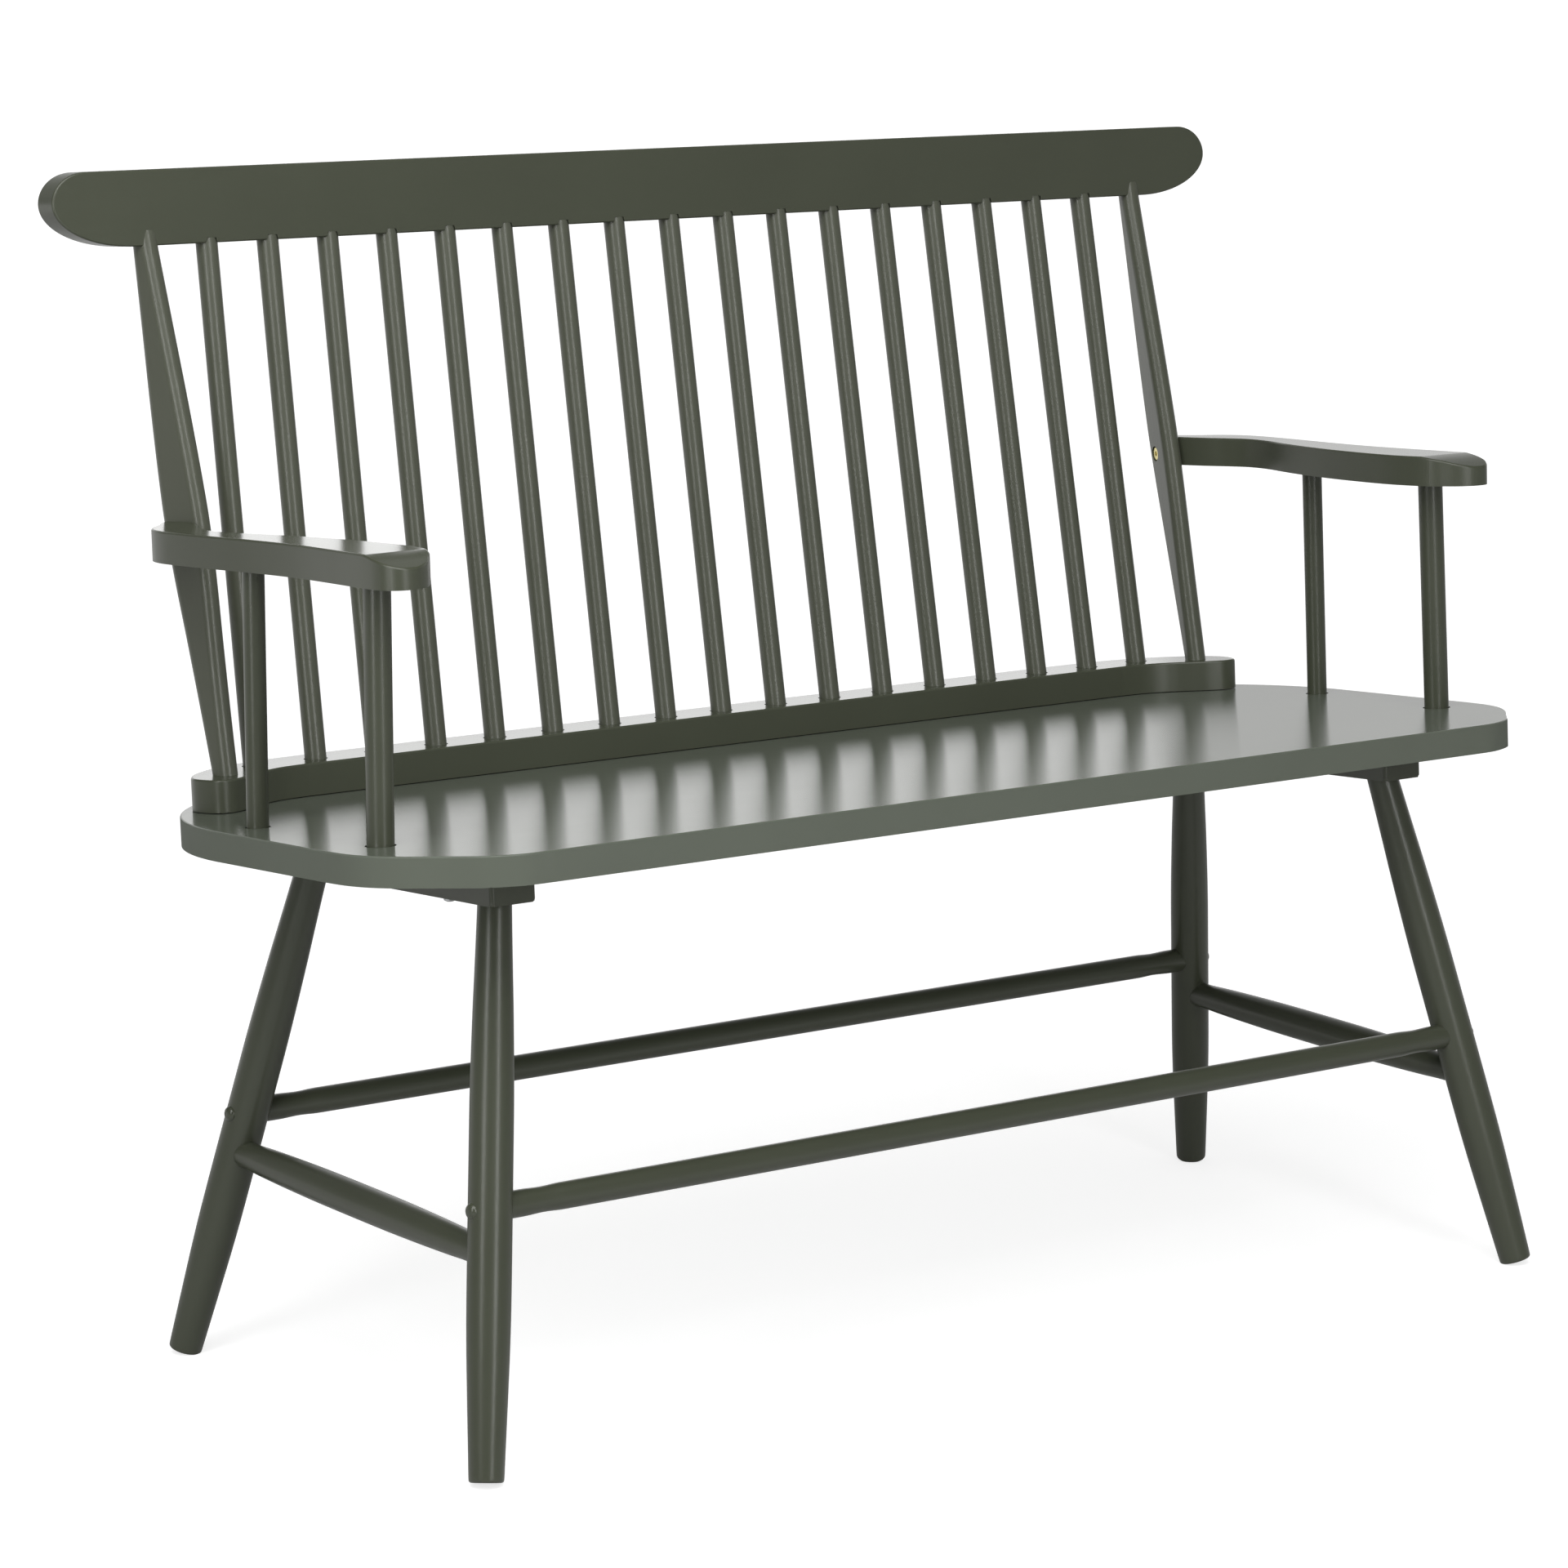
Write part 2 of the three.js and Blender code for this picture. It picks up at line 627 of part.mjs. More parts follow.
function railOutline() {
  const ear = smooth(
    EAR_OUTLINE_SHARES.map(([out, back]) => [(out * RAIL_LENGTH) / 2, RAIL_EAR_FRONT + back * RAIL_EAR_DEPTH]),
  );
  const otherEar = ear.map(({ x, y }) => new THREE.Vector2(-x, y)).reverse();
  return new THREE.Shape([...ear, ...otherEar]);
}

function lowerBackRail() {
  const sockets = spindleAxes.map(({ foot, head }) => {
    const bottom = towards(foot, head, -RAIL_SOCKET_DEPTH - CLEARANCE);
    return hole(foot, bottom, SPINDLE_RADIUS + CLEARANCE, SPINDLE_SIDES);
  });
  const mortiseBottom = towards(postAxis.foot, postAxis.head, -RAIL_SOCKET_DEPTH - CLEARANCE);
  const mortise = hole(postAxis.foot, mortiseBottom, POST_TENON_RADIUS + CLEARANCE, SPINDLE_SIDES);
  const pilots = railScrewXs.map((x) => {
    const depth = RAIL_SCREW.reach + CLEARANCE;
    return uprightHole(x, SPINDLE_RAIL_SETBACK, -CUT_OVERRUN, depth, RAIL_SCREW.shankRadius + CLEARANCE);
  });
  const blank = slab(railOutline(), CLEARANCE, RAIL_HEIGHT, RAIL_EDGE_ROUND);
  return cut(blank, [...sockets, ...withMirrored([mortise]), ...pilots]);
}

// Crest rail

// Outline of the crest's face: along the bench, and up from the crest's underside.
function crestOutline() {
  const half = CREST_LENGTH / 2;
  const [top, topRise] = [CREST_TOP_CORNER_LENGTH, CREST_TOP_CORNER_HEIGHT];
  const [bottom, bottomRise] = [CREST_BOTTOM_CORNER_LENGTH, CREST_HEIGHT - CREST_TOP_CORNER_HEIGHT];
  const outline = new THREE.Shape();
  outline.absellipse(half - bottom, bottomRise, bottom, bottomRise, -Math.PI / 2, 0);
  outline.absellipse(half - top, bottomRise, top, topRise, 0, Math.PI / 2);
  outline.absellipse(top - half, bottomRise, top, topRise, Math.PI / 2, Math.PI);
  outline.absellipse(bottom - half, bottomRise, bottom, bottomRise, Math.PI, (3 * Math.PI) / 2);
  outline.closePath();
  return outline;
}

function crestRail() {
  const blank = slab(crestOutline(), -CREST_THICKNESS, 0, CREST_EDGE_ROUND)
    .rotateX(Math.PI / 2)
    .translate(0, CREST_FRONT, CREST_BOTTOM);
  const sockets = spindleAxes.map(({ foot, head }) => {
    const bottom = towards(head, foot, -CREST_SOCKET_DEPTH - CLEARANCE);
    return hole(head, bottom, SPINDLE_RADIUS + CLEARANCE, SPINDLE_SIDES);
  });
  const mortiseBottom = towards(postAxis.head, postAxis.foot, -CREST_SOCKET_DEPTH - CLEARANCE);
  const mortise = hole(postAxis.head, mortiseBottom, POST_TENON_RADIUS + CLEARANCE, SPINDLE_SIDES);
  return cut(blank, [...sockets, ...withMirrored([mortise])]);
}

// Back spindles

function spindle({ foot, head }) {
  const start = towards(foot, head, -RAIL_SOCKET_DEPTH);
  const end = towards(head, foot, -CREST_SOCKET_DEPTH);
  return rod(start, end, SPINDLE_RADIUS, SPINDLE_SIDES);
}

// Back posts

// A ring round the post at a share of its height: two half rounds, joined by the paddle's flat faces.
function postRing([rise, widthShare]) {
  const low = RAIL_HEIGHT + CLEARANCE;
  const high = CREST_BOTTOM - CLEARANCE;
  const middle = atHeight(postAxis.foot, postAxis.head, low + rise * (high - low));
  const radius = POST_THICKNESS / 2;
  const flat = (widthShare * POST_WIDTH) / 2 - radius;
  const level = point(postAcross.y, -postAcross.x, 0);
  const ring = [];
  for (const end of [1, -1]) {
    for (let step = 0; step <= CORNER_SEGMENTS; step += 1) {
      const angle = (step / CORNER_SEGMENTS) * Math.PI;
      const corner = middle.clone().addScaledVector(postAcross, end * (flat + radius * Math.sin(angle)));
      ring.push(corner.addScaledVector(level, end * radius * Math.cos(angle)));
    }
  }
  return ring;
}

// Where the arm's bolt passes the middle of the post's thickness.
const armBoltMiddle = atHeight(postAxis.foot, postAxis.head, ARM_BOLT_HEIGHT).addScaledVector(
  postAcross,
  ARM_BOLT_OFFSET,
);

function alongArmBolt(distance) {
  return armBoltMiddle.clone().addScaledVector(postOut, distance);
}

function backPost() {
  const paddle = lofted(POST_WIDTH_SHARES.map(postRing));
  const footTenon = rod(
    towards(postAxis.foot, postAxis.head, -RAIL_SOCKET_DEPTH),
    towards(postAxis.foot, postAxis.head, POST_TENON_ROOT),
    POST_TENON_RADIUS,
    SPINDLE_SIDES,
  );
  const headTenon = rod(
    towards(postAxis.head, postAxis.foot, POST_TENON_ROOT),
    towards(postAxis.head, postAxis.foot, -CREST_SOCKET_DEPTH),
    POST_TENON_RADIUS,
    SPINDLE_SIDES,
  );
  const half = POST_THICKNESS / 2;
  const recessDepth = ARM_BOLT.headHeight + ARM_BOLT.sunk + CLEARANCE;
  const recess = hole(
    alongArmBolt(-half),
    alongArmBolt(recessDepth - half),
    ARM_BOLT_RECESS_RADIUS,
    FASTENER_SIDES,
  );
  const boltHole = hole(
    alongArmBolt(-half),
    alongArmBolt(half + CUT_OVERRUN),
    ARM_BOLT.shankRadius + CLEARANCE,
    FASTENER_SIDES,
  );
  return cut(joined(paddle, [footTenon, headTenon]), [recess, boltHole]);
}

// Arms

// The arm's outline in its own frame, anticlockwise seen from above.
function armOutline() {
  const shares = [...ARM_OUTER_SHARES, ...ARM_INNER_SHARES, ...ARM_FRONT_SHARES];
  const corners = [...shares, shares[0]].map(([back, out]) => [
    ARM_INNER_X + out * ARM_SPREAD,
    back * ARM_REACH,
  ]);
  return new THREE.Shape(smooth(corners).slice(0, -1));
}

// What the long round takes off the top of the arm's front end.
function armFrontWaste() {
  const [radius, length] = [ARM_FRONT_ROUND_RADIUS, ARM_FRONT_ROUND_LENGTH];
  const lean = degToRad(ARM_FRONT_ROUND_LEAN_DEGREES);
  const middle = length + radius * Math.sin(lean);
  const frontAngle = Math.PI / 2 + Math.asin((middle + CUT_OVERRUN) / radius);
  const waste = new THREE.Shape();
  waste.moveTo(length, CUT_OVERRUN);
  waste.lineTo(-CUT_OVERRUN, CUT_OVERRUN);
  waste.absarc(middle, -radius * Math.cos(lean), radius, frontAngle, Math.PI / 2 + lean, true);
  waste.closePath();
  return new THREE.ExtrudeGeometry(waste, {
    depth: 2 * ARM_SPREAD,
    bevelEnabled: false,
    curveSegments: CORNER_SEGMENTS,
  })
    .rotateX(Math.PI / 2)
    .rotateZ(Math.PI / 2)
    .translate(ARM_INNER_X - ARM_SPREAD / 2, 0, ARM_THICKNESS);
}

// A block on the inner side of the post's outer face, in the seat's frame.
function postFaceBlock() {
  const reach = 2 * POST_WIDTH;
  const up = postOut.clone().cross(postAcross).normalize();
  const turn = new THREE.Matrix4().makeBasis(postOut, postAcross, up);
  const face = alongArmBolt(POST_THICKNESS / 2 + CLEARANCE);
  return box(point(-reach, -reach, -reach), point(0, reach, reach))
    .applyMatrix4(turn)
    .translate(face.x, face.y, face.z);
}

function intoArmFrame(geometry) {
  return geometry.applyMatrix4(armFrame.matrix.clone().invert());
}

function arm() {
  const blank = slab(armOutline(), 0, ARM_THICKNESS, ARM_EDGE_ROUND);
  const sockets = Object.keys(ARM_POSTS).map((row) => {
    const { armFoot, armHead } = armPostAxes[row];
    const bottom = towards(armHead, armFoot, -ARM_POST_ARM_DEPTH - CLEARANCE);
    return hole(armHead, bottom, ARM_POSTS[row].radius + CLEARANCE, TURNED_SIDES);
  });
  const boltHole = rod(
    alongArmBolt(0),
    alongArmBolt(POST_THICKNESS / 2 + ARM_BOLT.reach + CLEARANCE),
    ARM_BOLT.shankRadius + CLEARANCE,
    FASTENER_SIDES,
  );
  return cut(blank, [armFrontWaste(), intoArmFrame(postFaceBlock()), ...sockets, intoArmFrame(boltHole)]);
}

function armPost(row) {
  const { foot, head } = armPostAxes[row];
  const start = towards(foot, head, -ARM_POST_SEAT_DEPTH);
  const end = towards(head, foot, -ARM_POST_ARM_DEPTH);
  return rod(start, end, ARM_POSTS[row].radius, TURNED_SIDES);
}

// Cleats

function cleat() {
  const [corner, round] = [CLEAT_CORNER_RADIUS, CLEAT_EDGE_ROUND];
  const [left, right] = [CLEAT_X - CLEAT_WIDTH / 2, CLEAT_X + CLEAT_WIDTH / 2];
  const [front, rear] = [CLEAT_FRONT, CLEAT_REAR];
  const outline = new THREE.Shape();
  outline.absarc(right - corner, front + corner, corner, -Math.PI / 2, 0);
  outline.absarc(right - corner, rear - corner, corner, 0, Math.PI / 2);
  outline.absarc(left + corner, rear - corner, corner, Math.PI / 2, Math.PI);
  outline.absarc(left + corner, front + corner, corner, Math.PI, (3 * Math.PI) / 2);
  outline.closePath();
  const blank = slab(outline, cleatBottom, cleatTop + round, round);
  const over = box(
    point(left - CUT_OVERRUN, front - CUT_OVERRUN, cleatTop),
    point(right + CUT_OVERRUN, rear + CUT_OVERRUN, cleatTop + round + CUT_OVERRUN),
  );
  const screwHoles = Object.values(cleatScrews).map(({ x, y }) =>
    uprightHole(x, y, cleatBottom - CUT_OVERRUN, cleatTop + CUT_OVERRUN, CLEAT_SCREW.shankRadius + CLEARANCE),
  );
  const studHoles = Object.keys(LEGS).map((row) => {
    const mouth = carried(legAxes[row].top, bench, seatFrame);
    const below = carried(legAxes[row].foot, bench, seatFrame);
    const bottom = towards(mouth, below, -LEG_STUD.cleatReach - CLEARANCE);
    return hole(mouth, bottom, LEG_STUD.radius + CLEARANCE, FASTENER_SIDES);
  });
  return cut(blank, [over, ...screwHoles, ...studHoles]);
}

// Legs

function legBlank({ top, foot }) {
  const length = top.distanceTo(foot);
  const body = LEG_RADIUS_SHARES.map(([fall, share]) => [(1 - fall) * length, share * LEG_RADIUS]).reverse();
  const [, footRadius] = body[0];
  const [, topRadius] = body[body.length - 1];
  const profile = [
    [0, footRadius - LEG_FOOT_ROUND],
    [LEG_FOOT_ROUND, footRadius],
    ...body.slice(1),
    [length + 2 * topRadius, topRadius],
  ];
  return along(turned(profile, TURNED_SIDES), foot, top);
}

function leg(row) {
  const axis = legAxes[row];
  const long = longStretcherAxes[row];
  const side = row === "front" ? [sideAxis.front, sideAxis.rear] : [sideAxis.rear, sideAxis.front];
  const reach = 4 * LEG_RADIUS;
  const above = box(point(-reach, -reach, -CLEARANCE), point(reach, reach, reach));
  const topInSeat = carried(axis.top, bench, seatFrame);
  above.translate(topInSeat.x, topInSeat.y, topInSeat.z).applyMatrix4(seatFrame.matrix);
  const below = box(
    point(axis.foot.x - reach, axis.foot.y - reach, -reach),
    point(axis.foot.x + reach, axis.foot.y + reach, 0),
  );
  const bodyRadius = legRadiusAt(axis, long.right);
  const outside = towards(long.right, long.left, -bodyRadius);
  const longSocket = rod(
    towards(long.right, long.left, long.inset - CLEARANCE),
    towards(long.right, long.left, bodyRadius + CUT_OVERRUN),
    LONG_STRETCHER_RADIUS + CLEARANCE,
    TURNED_SIDES,
  );
  const boltHole = rod(
    towards(outside, long.left, -CUT_OVERRUN),
    long.rightEnd,
    STRETCHER_BOLT.shankRadius + CLEARANCE,
    FASTENER_SIDES,
  );
  const sunk = STRETCHER_BOLT.headHeight - STRETCHER_BOLT.proud + CLEARANCE;
  const headSeat = hole(
    outside,
    towards(outside, long.left, sunk),
    STRETCHER_BOLT.headRadius + CLEARANCE,
    FASTENER_SIDES,
  );
  const sideRadius = legRadiusAt(axis, side[0]);
  const sideSocket = rod(
    towards(side[0], side[1], sideRadius - STRETCHER_SOCKET_DEPTH - CLEARANCE),
    towards(side[0], side[1], sideRadius + CUT_OVERRUN),
    SIDE_STRETCHER_END_RADIUS + CLEARANCE,
    TURNED_SIDES,
  );
  const studHole = hole(
    axis.top,
    towards(axis.top, axis.foot, LEG_STUD.legReach + CLEARANCE),
    LEG_STUD.radius + CLEARANCE,
    FASTENER_SIDES,
  );
  return cut(legBlank(axis), [above, below, longSocket, boltHole, headSeat, sideSocket, studHole]);
}

// Stretchers

function longStretcher(row) {
  const { rightEnd, leftEnd } = longStretcherAxes[row];
  const length = rightEnd.distanceTo(leftEnd);
  const [full, neck] = [LONG_STRETCHER_RADIUS, LONG_STRETCHER_NECK_RADIUS];
  const half = LONG_STRETCHER_NECK_REACH / 2;
  const end = [
    [0, full],
    [half, full],
    [2 * half, neck],
    [3 * half, full],
  ];
  const otherEnd = end.map(([distance, radius]) => [length - distance, radius]).reverse();
  const pilot = STRETCHER_BOLT.reach - STRETCHER_SOCKET_DEPTH;
  const blank = along(turned([...end, ...otherEnd], TURNED_SIDES), leftEnd, rightEnd);
  return cut(blank, [
    hole(rightEnd, towards(rightEnd, leftEnd, pilot), STRETCHER_BOLT.shankRadius + CLEARANCE, FASTENER_SIDES),
    hole(leftEnd, towards(leftEnd, rightEnd, pilot), STRETCHER_BOLT.shankRadius + CLEARANCE, FASTENER_SIDES),
  ]);
}

function sideStretcher() {
  const { frontEnd, rearEnd } = sideAxis;
  const length = frontEnd.distanceTo(rearEnd);
  const swell = SIDE_STRETCHER_RADIUS - SIDE_STRETCHER_END_RADIUS;
  const half = SIDE_STRETCHER_RADIUS_SHARES.map(([share, rise]) => [
    share * length,
    SIDE_STRETCHER_END_RADIUS + rise * swell,
  ]);
  const otherHalf = half.slice(0, -1).map(([distance, radius]) => [length - distance, radius]).reverse();
  return along(turned([...half, ...otherHalf], TURNED_SIDES), frontEnd, rearEnd);
}

// Fasteners

// The profile of a domed head whose underside is at 0, from the top of the dome down.
function dome(shares, { headRadius, headHeight }) {
  return [...shares.map(([rise, share]) => [-rise * headHeight, share * headRadius]), [0, headRadius]];
}

function stretcherBolt(row) {
  const { right, left } = longStretcherAxes[row];
  const headBottom = legRadiusAt(legAxes[row], right) - (STRETCHER_BOLT.headHeight - STRETCHER_BOLT.proud);
  const start = towards(right, left, -headBottom);
  const { shankRadius, reach } = STRETCHER_BOLT;
  const profile = [
    ...dome(BOLT_DOME_SHARES, STRETCHER_BOLT),
    [0, shankRadius],
    [headBottom + reach - STRETCHER_SOCKET_DEPTH, shankRadius],
  ];
  return along(turned(profile, FASTENER_SIDES), start, left);
}

function armBolt() {
  const half = POST_THICKNESS / 2;
  const { shankRadius, headRadius, headHeight, sunk, reach, socketRadius, socketDepth } = ARM_BOLT;
  const headTop = sunk - half;
  const profile = [
    [0, SOCKET_HEAD_TOP_SHARE * headRadius],
    [SOCKET_HEAD_EDGE_SHARE * headHeight, headRadius],
    [headHeight, headRadius],
    [headHeight, shankRadius],
    [2 * half + reach - sunk, shankRadius],
  ];
  const blank = along(turned(profile, FASTENER_SIDES), alongArmBolt(headTop), alongArmBolt(half));
  const socket = hole(alongArmBolt(headTop), alongArmBolt(headTop + socketDepth), socketRadius, KEY_SIDES);
  return cut(blank, [socket]);
}

function legStud(row) {
  const { top, foot } = legAxes[row];
  return rod(
    towards(top, foot, -LEG_STUD.cleatReach),
    towards(top, foot, LEG_STUD.legReach),
    LEG_STUD.radius,
    FASTENER_SIDES,
  );
}

// The profile of a screw's shank from its head to its pointed tip.
function screwShank(start, tip, shankRadius) {
  return [
    [start, shankRadius],
    [tip - 2 * shankRadius, shankRadius],
    [tip, SCREW_TIP_SHARE * shankRadius],
  ];
}

function cleatScrew({ x, y }) {
  const { shankRadius, reach } = CLEAT_SCREW;
  const tip = CLEAT_THICKNESS + 2 * CLEARANCE + reach;
  const profile = [...dome(SCREW_DOME_SHARES, CLEAT_SCREW), ...screwShank(0, tip, shankRadius)];
  return turned(profile, FASTENER_SIDES).translate(x, y, cleatBottom - CLEARANCE);
}

function railScrew(x) {
  const { shankRadius, headRadius, headHeight, reach } = RAIL_SCREW;
  const tip = SEAT_THICKNESS + reach;
  const profile = [[0, headRadius], ...screwShank(headHeight, tip, shankRadius)];
  return turned(profile, FASTENER_SIDES).translate(x, SPINDLE_RAIL_SETBACK, -SEAT_THICKNESS);
}

// Assembly

place("seat_plank", seat(), paintedWood(), seatFrame);
place("lower_back_rail", lowerBackRail(), paintedWood(), seatFrame);
place("crest_rail", crestRail(), paintedWood(), seatFrame);
spindleAxes.forEach((axis, index) => {
  const number = String(index + 1).padStart(2, "0");
  place(`back_spindle_${number}`, spindle(axis), paintedWood(), seatFrame);
});
placePair("back_post", backPost(), paintedWood, seatFrame);
placePair("arm", arm(), paintedWood, armFrame);
placePair("cleat", cleat(), paintedWood, seatFrame);
placePair("arm_bolt", armBolt(), brass, seatFrame);
placePair("side_stretcher", sideStretcher(), paintedWood, bench);
railScrewXs.forEach((x, index) => {
  place(`rail_screw_${index + 1}`, railScrew(x), zincSteel(), seatFrame);
});
for (const row of ["front", "rear"]) {
  placePair(`${row}_arm_post`, armPost(row), paintedWood, seatFrame);
  placePair(`${row}_leg`, leg(row), paintedWood, bench);
  placePair(`${row}_stretcher_bolt`, stretcherBolt(row), paintedSteel, bench);
  placePair(`${row}_leg_stud`, legStud(row), zincSteel, bench);
  placePair(`${row}_cleat_screw`, cleatScrew(cleatScrews[row]), zincSteel, seatFrame);
  place(`${row}_stretcher`, longStretcher(row), paintedWood(), bench);
}

// The bench's own frame starts at the middle of its footprint, on the floor.
bench.updateMatrixWorld(true);
const middle = new THREE.Box3().setFromObject(bench, true).getCenter(new THREE.Vector3());
bench.children.forEach((child) => child.position.sub(point(middle.x, middle.y, 0)));

export default bench;
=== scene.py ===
"""Looks of the deacons bench: smooth painted pieces in place of the faceted solids, the fasteners,
the floor, the studio light and the camera. Sizes are in millimetres until a piece is placed."""

import math

import bmesh
import bpy
from mathutils import Matrix, Vector

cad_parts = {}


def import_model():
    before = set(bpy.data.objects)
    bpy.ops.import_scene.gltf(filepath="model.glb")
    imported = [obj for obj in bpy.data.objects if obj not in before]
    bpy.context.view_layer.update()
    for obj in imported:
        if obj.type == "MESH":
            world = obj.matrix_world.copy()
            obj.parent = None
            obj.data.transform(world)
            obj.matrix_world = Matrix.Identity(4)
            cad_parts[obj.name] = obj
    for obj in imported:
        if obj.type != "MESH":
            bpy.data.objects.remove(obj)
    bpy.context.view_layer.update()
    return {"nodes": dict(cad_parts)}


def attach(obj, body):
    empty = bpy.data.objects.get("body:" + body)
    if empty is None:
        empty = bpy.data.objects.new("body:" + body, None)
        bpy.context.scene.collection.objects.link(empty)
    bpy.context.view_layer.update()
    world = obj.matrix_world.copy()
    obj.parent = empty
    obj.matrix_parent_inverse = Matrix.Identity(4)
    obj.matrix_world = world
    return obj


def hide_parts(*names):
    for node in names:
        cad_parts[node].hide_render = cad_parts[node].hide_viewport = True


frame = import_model()

MM = 0.001

# Frames, as in the solids
SEAT_TILT = math.radians(3.49)
SEAT_HEIGHT = 450
SEAT_FRONT_Y = -250.102
ARM_RISE = math.radians(1.03)
ARM_UNDERSIDE = 184.3
ARM_FRONT = 60

SEAT_FRAME = Matrix.Translation((0, SEAT_FRONT_Y, SEAT_HEIGHT)) @ Matrix.Rotation(-SEAT_TILT, 4, "X")
ARM_FRAME = SEAT_FRAME @ Matrix.Translation((0, ARM_FRONT, ARM_UNDERSIDE)) @ Matrix.Rotation(ARM_RISE, 4, "X")
BENCH_FRAME = Matrix.Translation((0, SEAT_FRONT_Y, 0))

# Meshes: steps of curves, and the turn beyond which an edge stays sharp
SPLINE_STEPS, BODY_STEPS = 8, 6
PLANE_DISTANCE = 1e-5
REPEAT_DISTANCE = 1e-4
SHARP_TURN = math.radians(40)

# Seat
SEAT_LENGTH, SEAT_DEPTH, SEAT_THICKNESS = 1088, 464.5, 22.4
SEAT_CORNER_LENGTH, SEAT_CORNER_DEPTH = 110, 125
SEAT_REAR_LENGTH, SEAT_REAR_DEPTH = 155, 184
SEAT_CORNER_SHARES = [
    (0, 0), (0.22, 0.015), (0.44, 0.11), (0.57, 0.23), (0.7, 0.36),
    (0.83, 0.49), (0.93, 0.64), (0.985, 0.81), (1, 1),
]
SEAT_EDGE = 1.3

# Lower back rail, which stands over a thin line of shade
RAIL_LENGTH, RAIL_HEIGHT = 1007, 25.4
RAIL_SHADE, RAIL_EDGE, RAIL_LOW_EDGE = 0.7, 1.6, 0.4
EAR_FRONT, EAR_DEPTH = 359.5, 92
EAR_SHARES = [
    (0.79, 0.405), (0.83, 0.385), (0.86, 0.335), (0.885, 0.26), (0.91, 0.165), (0.935, 0.075),
    (0.96, 0.015), (0.982, 0.04), (0.994, 0.15), (0.998, 0.3), (0.987, 0.45), (0.963, 0.61),
    (0.915, 0.8), (0.853, 0.93), (0.796, 0.98), (0.73, 1),
]

# Crest rail
CREST_LENGTH, CREST_HEIGHT, CREST_THICKNESS = 1111.2, 57.1, 23
CREST_BOTTOM, CREST_FRONT = 420.5, 458.2
CREST_TOP_LENGTH, CREST_TOP_HEIGHT, CREST_BOTTOM_LENGTH = 28.6, 23.5, 68.6
CREST_EDGE = 1.6

# Back spindles
SPINDLES = 17
SPINDLE_RADIUS = 8.4
RAIL_PITCH, CREST_PITCH = 54, 52.9
RAIL_SETBACK, CREST_SETBACK = 419.8, 466.2
SOCKET = 12
SPINDLE_HOLE_LIP, SPINDLE_HOLE_DEPTH = 0.9, 3

# Back posts
POST_THICKNESS, POST_WIDTH = 16, 40.6
POST_TURN = math.radians(17.6)
POST_FOOT = Vector((473.5, 390.1, RAIL_HEIGHT))
POST_HEAD = Vector((476.1, 465.1, CREST_BOTTOM))
POST_WIDTH_SHARES = [
    (0, 0.49), (0.12, 0.61), (0.25, 0.765), (0.37, 0.925), (0.47, 1),
    (0.56, 0.965), (0.7, 0.835), (0.85, 0.655), (1, 0.48),
]
POST_LOW_END, POST_HIGH_END = (-0.025, 0.49), (1.03, 0.48)
POST_ROUND_STEPS = 16

# Arms
ARM_THICKNESS, ARM_REACH = 23.9, 380
ARM_INNER_X, ARM_SPREAD = 463.5, 66
ARM_ROUND_RADIUS, ARM_ROUND_LENGTH, ARM_ROUND_LEAN = 172, 35, math.radians(8)
ARM_ROUND_STEPS, ARM_EDGE, ARM_FACE_GAP = 20, 1.6, 0.05
ARM_SHARES = [
    (0.214, 0.82), (0.351, 0.79), (0.487, 0.83), (0.633, 0.925), (0.75, 0.99), (0.813, 1),
    (0.862, 0.945), (0.901, 0.82), (0.935, 0.64), (0.968, 0.5), (0.99, 0.385), (1, 0.28),
    (0.985, 0.22), (0.925, 0.25), (0.862, 0.345), (0.803, 0.48), (0.75, 0.565), (0.677, 0.525),
    (0.57, 0.34), (0.448, 0.17), (0.321, 0.055), (0.195, 0), (0.127, 0.025), (0.074, 0.1),
    (0.048, 0.2), (0.022, 0.31), (0.006, 0.44), (0, 0.57), (0.004, 0.7), (0.018, 0.795),
    (0.041, 0.855), (0.088, 0.862),
]
ARM_POSTS = {
    "front": (10, Vector((502.8, 118.6, 0)), Vector((497.8, 114.7, ARM_UNDERSIDE))),
    "rear": (8.2, Vector((511.7, 276.9, 0)), Vector((507.6, 271.6, ARM_UNDERSIDE))),
}
POST_HOLE_LIP, POST_HOLE_START, POST_HOLE_END = 1.3, -4, 2

# Cleats, legs and stretchers
CLEAT_X, CLEAT_WIDTH, CLEAT_THICKNESS = 423, 38, 24.3
CLEAT_CORNER, CLEAT_EDGE, CLEAT_RISE = 3, 2.4, 3
CLEAT_FRONT, CLEAT_LENGTH = 72.5, 293.5
GAP = 0.3
CLEAT_BOTTOM = -SEAT_THICKNESS - GAP - CLEAT_THICKNESS
LEG_RADIUS = 16
LEG_SHARES = [
    (0, 0.775), (0.06, 0.815), (0.13, 0.87), (0.2, 0.925), (0.33, 0.99), (0.46, 1),
    (0.68, 1), (0.77, 0.972), (0.84, 0.922), (0.91, 0.866), (1, 0.79),
]
LEGS = {
    "front": (Vector((423.3, 98, CLEAT_BOTTOM)), Vector((495.3, 2.2, 0))),
    "rear": (Vector((427.5, 347.4, CLEAT_BOTTOM)), Vector((502.3, 424, 0))),
}
LEG_FOOT_EDGE, LEG_FOOT_CUT, LEG_TOP_SUNK = 2, 0.6, 5
LONG_HEIGHTS = {"front": 187.4, "rear": 192.1}
LONG_RADIUS, LONG_NECK_RADIUS, LONG_NECK_REACH, LONG_NECK_STEPS = 9.9, 9.25, 36, 12
SIDE_HEIGHTS = {"front": 156.3, "rear": 160.7}
SIDE_RADIUS, SIDE_END_RADIUS = 13, 10.4
